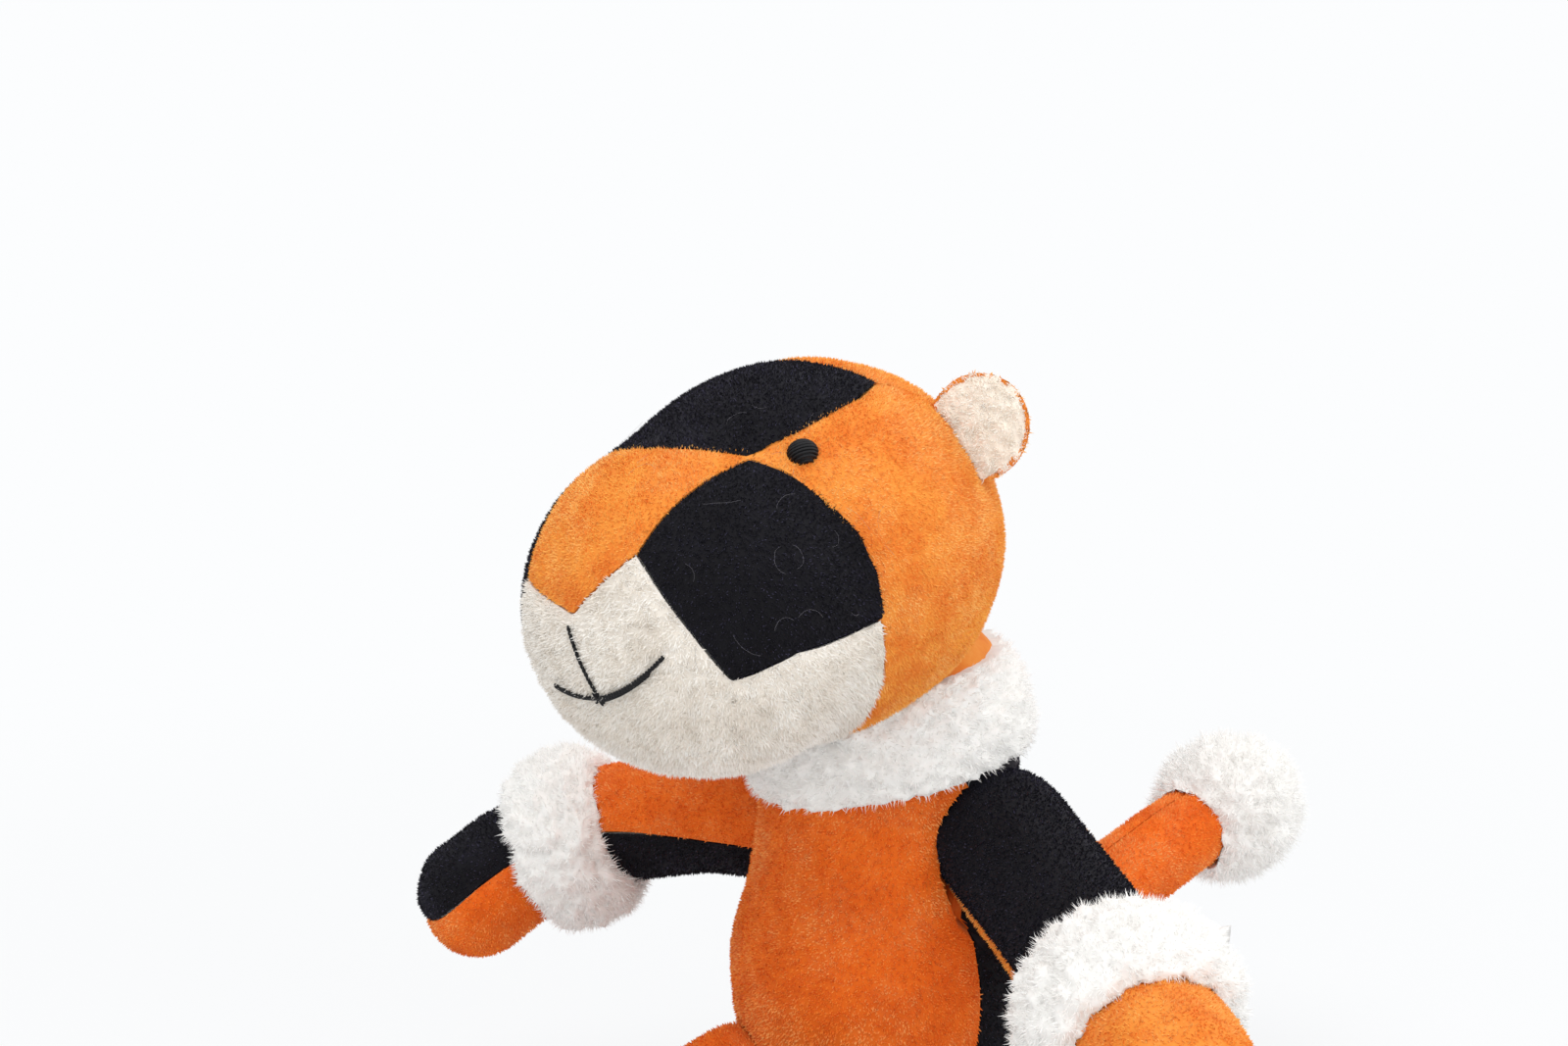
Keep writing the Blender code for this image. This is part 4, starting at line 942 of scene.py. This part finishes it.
class Limb:
    """A limb's bend from its root, past its elbow or knee, to its end, and its swell."""

    def __init__(self, points, hint, radii, wrist, tip):
        self.points, self.radii, self.wrist, self.tip = points, radii, wrist, tip
        reach = points[2] - points[0]
        self.over = reach.cross(hint).cross(reach).normalized()
        marks = [self.bend(step / LIMB_STEPS) for step in range(LIMB_STEPS + 1)]
        self.length = sum((second - first).length for first, second in zip(marks, marks[1:]))

    def bend(self, share):
        """A point of the bend."""
        root, elbow, end = self.points
        return root * (1 - share) ** 2 + elbow * (2 * share * (1 - share)) + end * share ** 2

    def stand(self, share):
        """The middle of the limb at a share of its length, its way and the two directions across it."""
        root, elbow, end = self.points
        held = min(1.0, max(0.0, share))
        way = ((elbow - root) * (1 - held) + (end - elbow) * held).normalized()
        across = way.cross(self.over).normalized()
        return self.bend(held) + way * (share - held) * self.length, way, across, across.cross(way)

    def swell(self, share):
        """The limb's radius at a share of its length."""
        root, wrist, end = self.radii
        low, high, part = (root, wrist, share / self.wrist)
        if share > self.wrist:
            low, high, part = (wrist, end, (share - self.wrist) / (1 - self.wrist))
        return low + (high - low) * part * part * (3 - 2 * part)

    def surface(self, way):
        """The limb's surface where a fine sphere's point goes: a round root, the shaft, a round tip."""
        place = acos(max(-1.0, min(1.0, way.z))) / pi
        if place < CAP_SHARE:
            angle = place / CAP_SHARE * pi / 2
            along, radius = -self.radii[0] * cos(angle) / self.length, self.radii[0] * sin(angle)
        elif place > 1 - CAP_SHARE:
            angle = (place - (1 - CAP_SHARE)) / CAP_SHARE * pi / 2
            along, radius = 1 + self.tip * sin(angle) / self.length, self.radii[2] * cos(angle)
        else:
            along = (place - CAP_SHARE) / (1 - 2 * CAP_SHARE)
            radius = self.swell(along)
        angle = atan2(way.y, way.x)
        middle, _, across, rise = self.stand(along)
        return middle + (across * cos(angle) + rise * sin(angle)) * radius


def cuff_form(limb):
    """The smooth form of the fleece band round a wrist or an ankle."""
    middle, way = limb.stand(limb.wrist)[:2]
    stand = Matrix.Translation(middle) @ way.to_track_quat("Z", "Y").to_matrix().to_4x4()
    inner = limb.radii[1] * CUFF_INNER
    outer = limb.radii[1] + CUFF_OUT

    def place(p):
        level = sqrt(max(0.0, 1 - p.z * p.z))
        radius = inner + (outer - inner) * sqrt(level) if level > SAME_PLACE else 0
        angle = atan2(p.y, p.x)
        return Vector((cos(angle) * radius, sin(angle) * radius, p.z * CUFF_WIDTH / 2))

    return form(64, 48, place, stand)


def dress_limb(kind, label, limb, names, tops, seed, density, wool, twist=0.0):
    """An arm or a leg: wadding, two pieces of sleeve, two of paw or foot, and a fleece cuff."""
    def twisted_on(spot):
        """A place moved round the limb, most at its wrist, and at its root drawn into the body."""
        reach = limb.points[2] - limb.points[0]
        share = (spot - limb.points[0]).dot(reach) / reach.length_squared
        middle, way = limb.stand(share)[:2]
        turn = twist * exp(-((share - limb.wrist) / TWIST_REACH) ** 2)
        drawn = -way * ROOT_TUCK * max(0.0, 1 - share / ROOT_REACH)
        return middle + Matrix.Rotation(turn, 3, way) @ (spot - middle) + drawn

    def folded(spot):
        """How far the limb's cloth stands out in soft folds that run along it."""
        away = spot - limb.points[0]
        way = (limb.points[2] - limb.points[0]).normalized()
        along = away.dot(way)
        across = away - way * along
        return unevenness(spot) + FOLD * noise.noise(way * along / FOLD_LENGTH + across / FOLD_WIDTH)

    sleeve, tip, band = names
    body = f"{kind}_{label}"
    smooth = form(48, 96, limb.surface)
    root, elbow = limb.points[0], limb.points[1]
    joined = ("torso", body, root, root + (elbow - root).normalized() * LIMB_JOIN * limb.radii[0])
    wadding(f"{kind}_wadding_{label}", f"{kind}_{label}_stuffing", body, smooth, joined=joined)
    comb = (limb.points[2] - root).normalized() * PILE_LEAN
    halves = ((sleeve, "top"), (sleeve, "bottom"), (tip, "top"), (tip, "bottom"))
    for number, (part, half) in enumerate(halves):
        finish, slot = tops[(half == "top") != (part == sleeve)]
        sewn(f"{part}_{half}_{label}", f"{part}_{label}_{half}", body, smooth, finish, slot,
             joined=joined if part == sleeve else None, shift=twisted_on, lumps=folded, Comb=tuple(comb),
             Seed=seed + number, Density=density,
             Width=LIMB_PILE_WIDTH * sqrt(LIMB_PILE_DENSITY / density))
    fleece(f"{band}_band_{label}", f"{band}_{label}", body, cuff_form(limb), seed=seed + 5, density=wool)


# The right limbs' orange is the darker copy of the velour: painted shade.
orange = (ORANGE_VELOUR, "orange_velour")
shaded_orange = (SHADED_ORANGE_VELOUR, "orange_velour")
black = (BLACK_VELOUR, "black_velour")
for label, side, tops, twist, density, wool in (("L", 1, (black, orange), -0.15, 8e6, 4.9e6),
                                                ("R", -1, (shaded_orange, black), 0.75, 7e6, 4.3e6)):
    shoulder = SHOULDERS[label]
    elbow = shoulder + UPPER_ARMS[label]
    arm = Limb((shoulder, elbow, elbow + FOREARMS[label]), ARM_OVERS[label], ARM_RADII[label],
               WRIST_SHARES[label], PAW_LENGTH)
    dress_limb("arm", label, arm, ("sleeve", "paw", "cuff"), tops, 50 + 10 * side, density, wool, twist)
    weights = ((1 - ANKLE_SHARE) ** 2, 2 * ANKLE_SHARE * (1 - ANKLE_SHARE), ANKLE_SHARE ** 2)
    knee_height = (ANKLE_HEIGHT - weights[0] * HIP.z - weights[2] * FOOT.z) / weights[1]
    hip, knee, foot = [Vector((place.x * side, place.y, place.z)) for place in (HIP, KNEE, FOOT)]
    knee.z = knee_height
    leg = Limb((hip, knee, foot), rising, LEG_RADII, ANKLE_SHARE, FOOT_LENGTH)
    dress_limb("leg", label, leg, ("leg", "foot", "anklet"), tops, 80 + 10 * side, 5.2e6, 3.4e6)


# Tail: a rod of stuffing in two halves of orange velour, seamed along its top and bottom and sewn on at
# a round root, with a tuft of white fleece at its end.
TAIL_RADIUS = 0.0064
TAIL_POINTS = (TAIL_ROOT, Vector((0.0, 0.046992, 0.040988)), Vector((0.0, 0.077992, 0.046388)))
TAIL_JOIN = 0.35
TUFT_HALF = Vector((0.0112, 0.0112, 0.0125))
TUFT_SHARE = 1.03
tail = Limb(TAIL_POINTS, Vector((1, 0, 0)), (TAIL_RADIUS,) * 3, 0.5, TAIL_RADIUS)
tail_form = form(40, 96, tail.surface)
tail_join = ("torso", "tail", TAIL_ROOT, TAIL_ROOT.lerp(TAIL_POINTS[1], TAIL_JOIN))
wadding("tail_wadding", "tail_stuffing", "tail", tail_form, joined=tail_join)
# The tail takes the darker copy of the orange velour: painted shade.
for side in ("left", "right"):
    sewn(f"tail_skin_{side}", f"tail_{side}", "tail", tail_form, SHADED_ORANGE_VELOUR, "orange_velour",
         joined=tail_join, Comb=(0.0, PILE_LEAN, 0.1), Seed=100, Density=6.5e6, Width=0.00023)
middle, way = tail.stand(TUFT_SHARE)[:2]
tuft_stand = Matrix.Translation(middle) @ way.to_track_quat("Z", "Y").to_matrix().to_4x4()
tuft_form = form(64, 48, lambda p: Vector([p[i] * TUFT_HALF[i] for i in range(3)]), tuft_stand)
fleece("tuft_fleece", "tail_tuft", "tail", tuft_form, length=0.0014, seed=101, density=4.2e6)


# Label: a bare ribbon of white woven satin, folded double. Its two ends are caught in the seam at the
# left of the back.
LABEL_WIDTH = 0.0130
LABEL_LENGTH = 0.0338
LABEL_HEIGHT = 0.0300
LABEL_PLACE = radians(52)
LABEL_TURN = radians(14)
LABEL_BOW = 0.0015
LABEL_RISE = 0.0030
LABEL_GAP = 0.00045
LABEL_FOLD = 0.03
LABEL_RIPPLE = 0.0002
LABEL_SUNK = 0.985
LABEL_OUT = 0.00065
LABEL_CLOTH = 0.00012
LABEL_STEPS = 60
LABEL_ROWS = 14
foot_of_label = Vector((sin(LABEL_PLACE), cos(LABEL_PLACE) * BODY_DEPTH, 0)) * BODY_RADIUS * LABEL_SUNK
foot_of_label += foot_of_label.normalized() * LABEL_OUT
run = Vector((sin(LABEL_TURN), cos(LABEL_TURN), 0))
beside = Vector((run.y, -run.x, 0))


def on_label(share, across):
    """A place on the folded ribbon, a share along both its layers and a share across it."""
    out = 1 - abs(2 * share - 1)
    layer = 1 if share < 0.5 else -1
    fold = max(0.0, (out - (1 - LABEL_FOLD)) / LABEL_FOLD)
    gap = LABEL_GAP / 2 * sqrt(max(0.0, 1 - fold ** 2))
    aside = LABEL_BOW * sin(2 * pi * out) + layer * gap + LABEL_RIPPLE * sin(9 * across + 3 * out)
    return (foot_of_label + run * LABEL_LENGTH * out + beside * aside
            + rising * (LABEL_HEIGHT + across * LABEL_WIDTH + LABEL_RISE * out * out))


bm = bmesh.new()
grid = [[bm.verts.new(on_label(step / LABEL_STEPS, row / LABEL_ROWS - 0.5))
         for row in range(LABEL_ROWS + 1)] for step in range(LABEL_STEPS + 1)]
for first, second in zip(grid, grid[1:]):
    for row in range(LABEL_ROWS):
        bm.faces.new((first[row], second[row], second[row + 1], first[row + 1])).smooth = True
label_ribbon = solid("label_ribbon", bm)
SATIN, pen = blank("label_satin")
place = pen.add("ShaderNodeTexCoord", output="Object")
weave = pen.add("ShaderNodeTexWave", {"bands_direction": "Z"},
                {"Vector": place, "Scale": 900.0, "Distortion": 0.6})
tint = weave.between(colour("#ECEBE8"), colour("#F8F7F5"))
bump = pen.add("ShaderNodeBump", {}, {"Height": weave, "Strength": 0.15, "Distance": 0.00005})
pen.surface({"Base Color": tint, "Roughness": 0.42, "Normal": bump})
label_ribbon.data.materials.append(SATIN)
thick = label_ribbon.modifiers.new("cloth", "SOLIDIFY")
thick.thickness = LABEL_CLOTH
thick.offset = 0
plain(label_ribbon)
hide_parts("label")
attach(label_ribbon, "torso")


# Lint: fine pale hairs, loose fibres of the fleece, which lie curled on the pile of the head and the back
# and cling to it.
LINT_RADIUS = 0.000012
LINT_SIDES = 3
LINT_STEPS = 20
LINT_STEP = (0.00008, 0.00026)
LINT_BEND = (0.01, 0.14)
LINT_WANDER = 0.06
LINT_OUT = 0.00065
LINT_SEED = 5
lint_dice = random.Random(LINT_SEED)
LINT, pen = blank("lint")
pen.surface({"Base Color": colour("#7F7C84"), "Roughness": 0.7})


def linted(name, body, smooth, places, count, spread):
    """Curled hairs scattered over a form, near some places of it."""
    bm = bmesh.new()
    for number in range(count):
        aside = Vector([lint_dice.uniform(-spread, spread) for axis in range(3)])
        spot, normal = smooth.find_nearest(places[number % len(places)] + aside)[:2]
        way = normal.cross(Vector([lint_dice.gauss(0, 1) for axis in range(3)])).normalized()
        step = lint_dice.uniform(*LINT_STEP)
        bend = lint_dice.uniform(*LINT_BEND) * lint_dice.choice((-1, 1))
        line = []
        for _ in range(LINT_STEPS):
            spot, normal = smooth.find_nearest(spot + way * step)[:2]
            way -= normal * way.dot(normal)
            way = (Matrix.Rotation(bend + lint_dice.gauss(0, LINT_WANDER), 3, normal) @ way).normalized()
            line.append(spot + normal * LINT_OUT)
        spun(bm, line, LINT_RADIUS, LINT_SIDES)
    piece = solid(name, bm)
    piece.data.materials.append(LINT)
    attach(piece, body)


left_face = head_frame @ on_head(Vector((1.0, -0.9, 0.1)))
right_face = head_frame @ on_head(Vector((-1.0, -0.9, 0.1)))
over_eyes = head_frame @ on_head(Vector((0.0, -0.75, 1.0)))
linted("head_lint", "head", head_form, (left_face, over_eyes, left_face, right_face, over_eyes),
       count=36, spread=0.014)
linted("back_lint", "torso", body_form, (Vector((0.012, 0.03, 0.045)), Vector((-0.012, 0.03, 0.04))),
       count=16, spread=0.018)
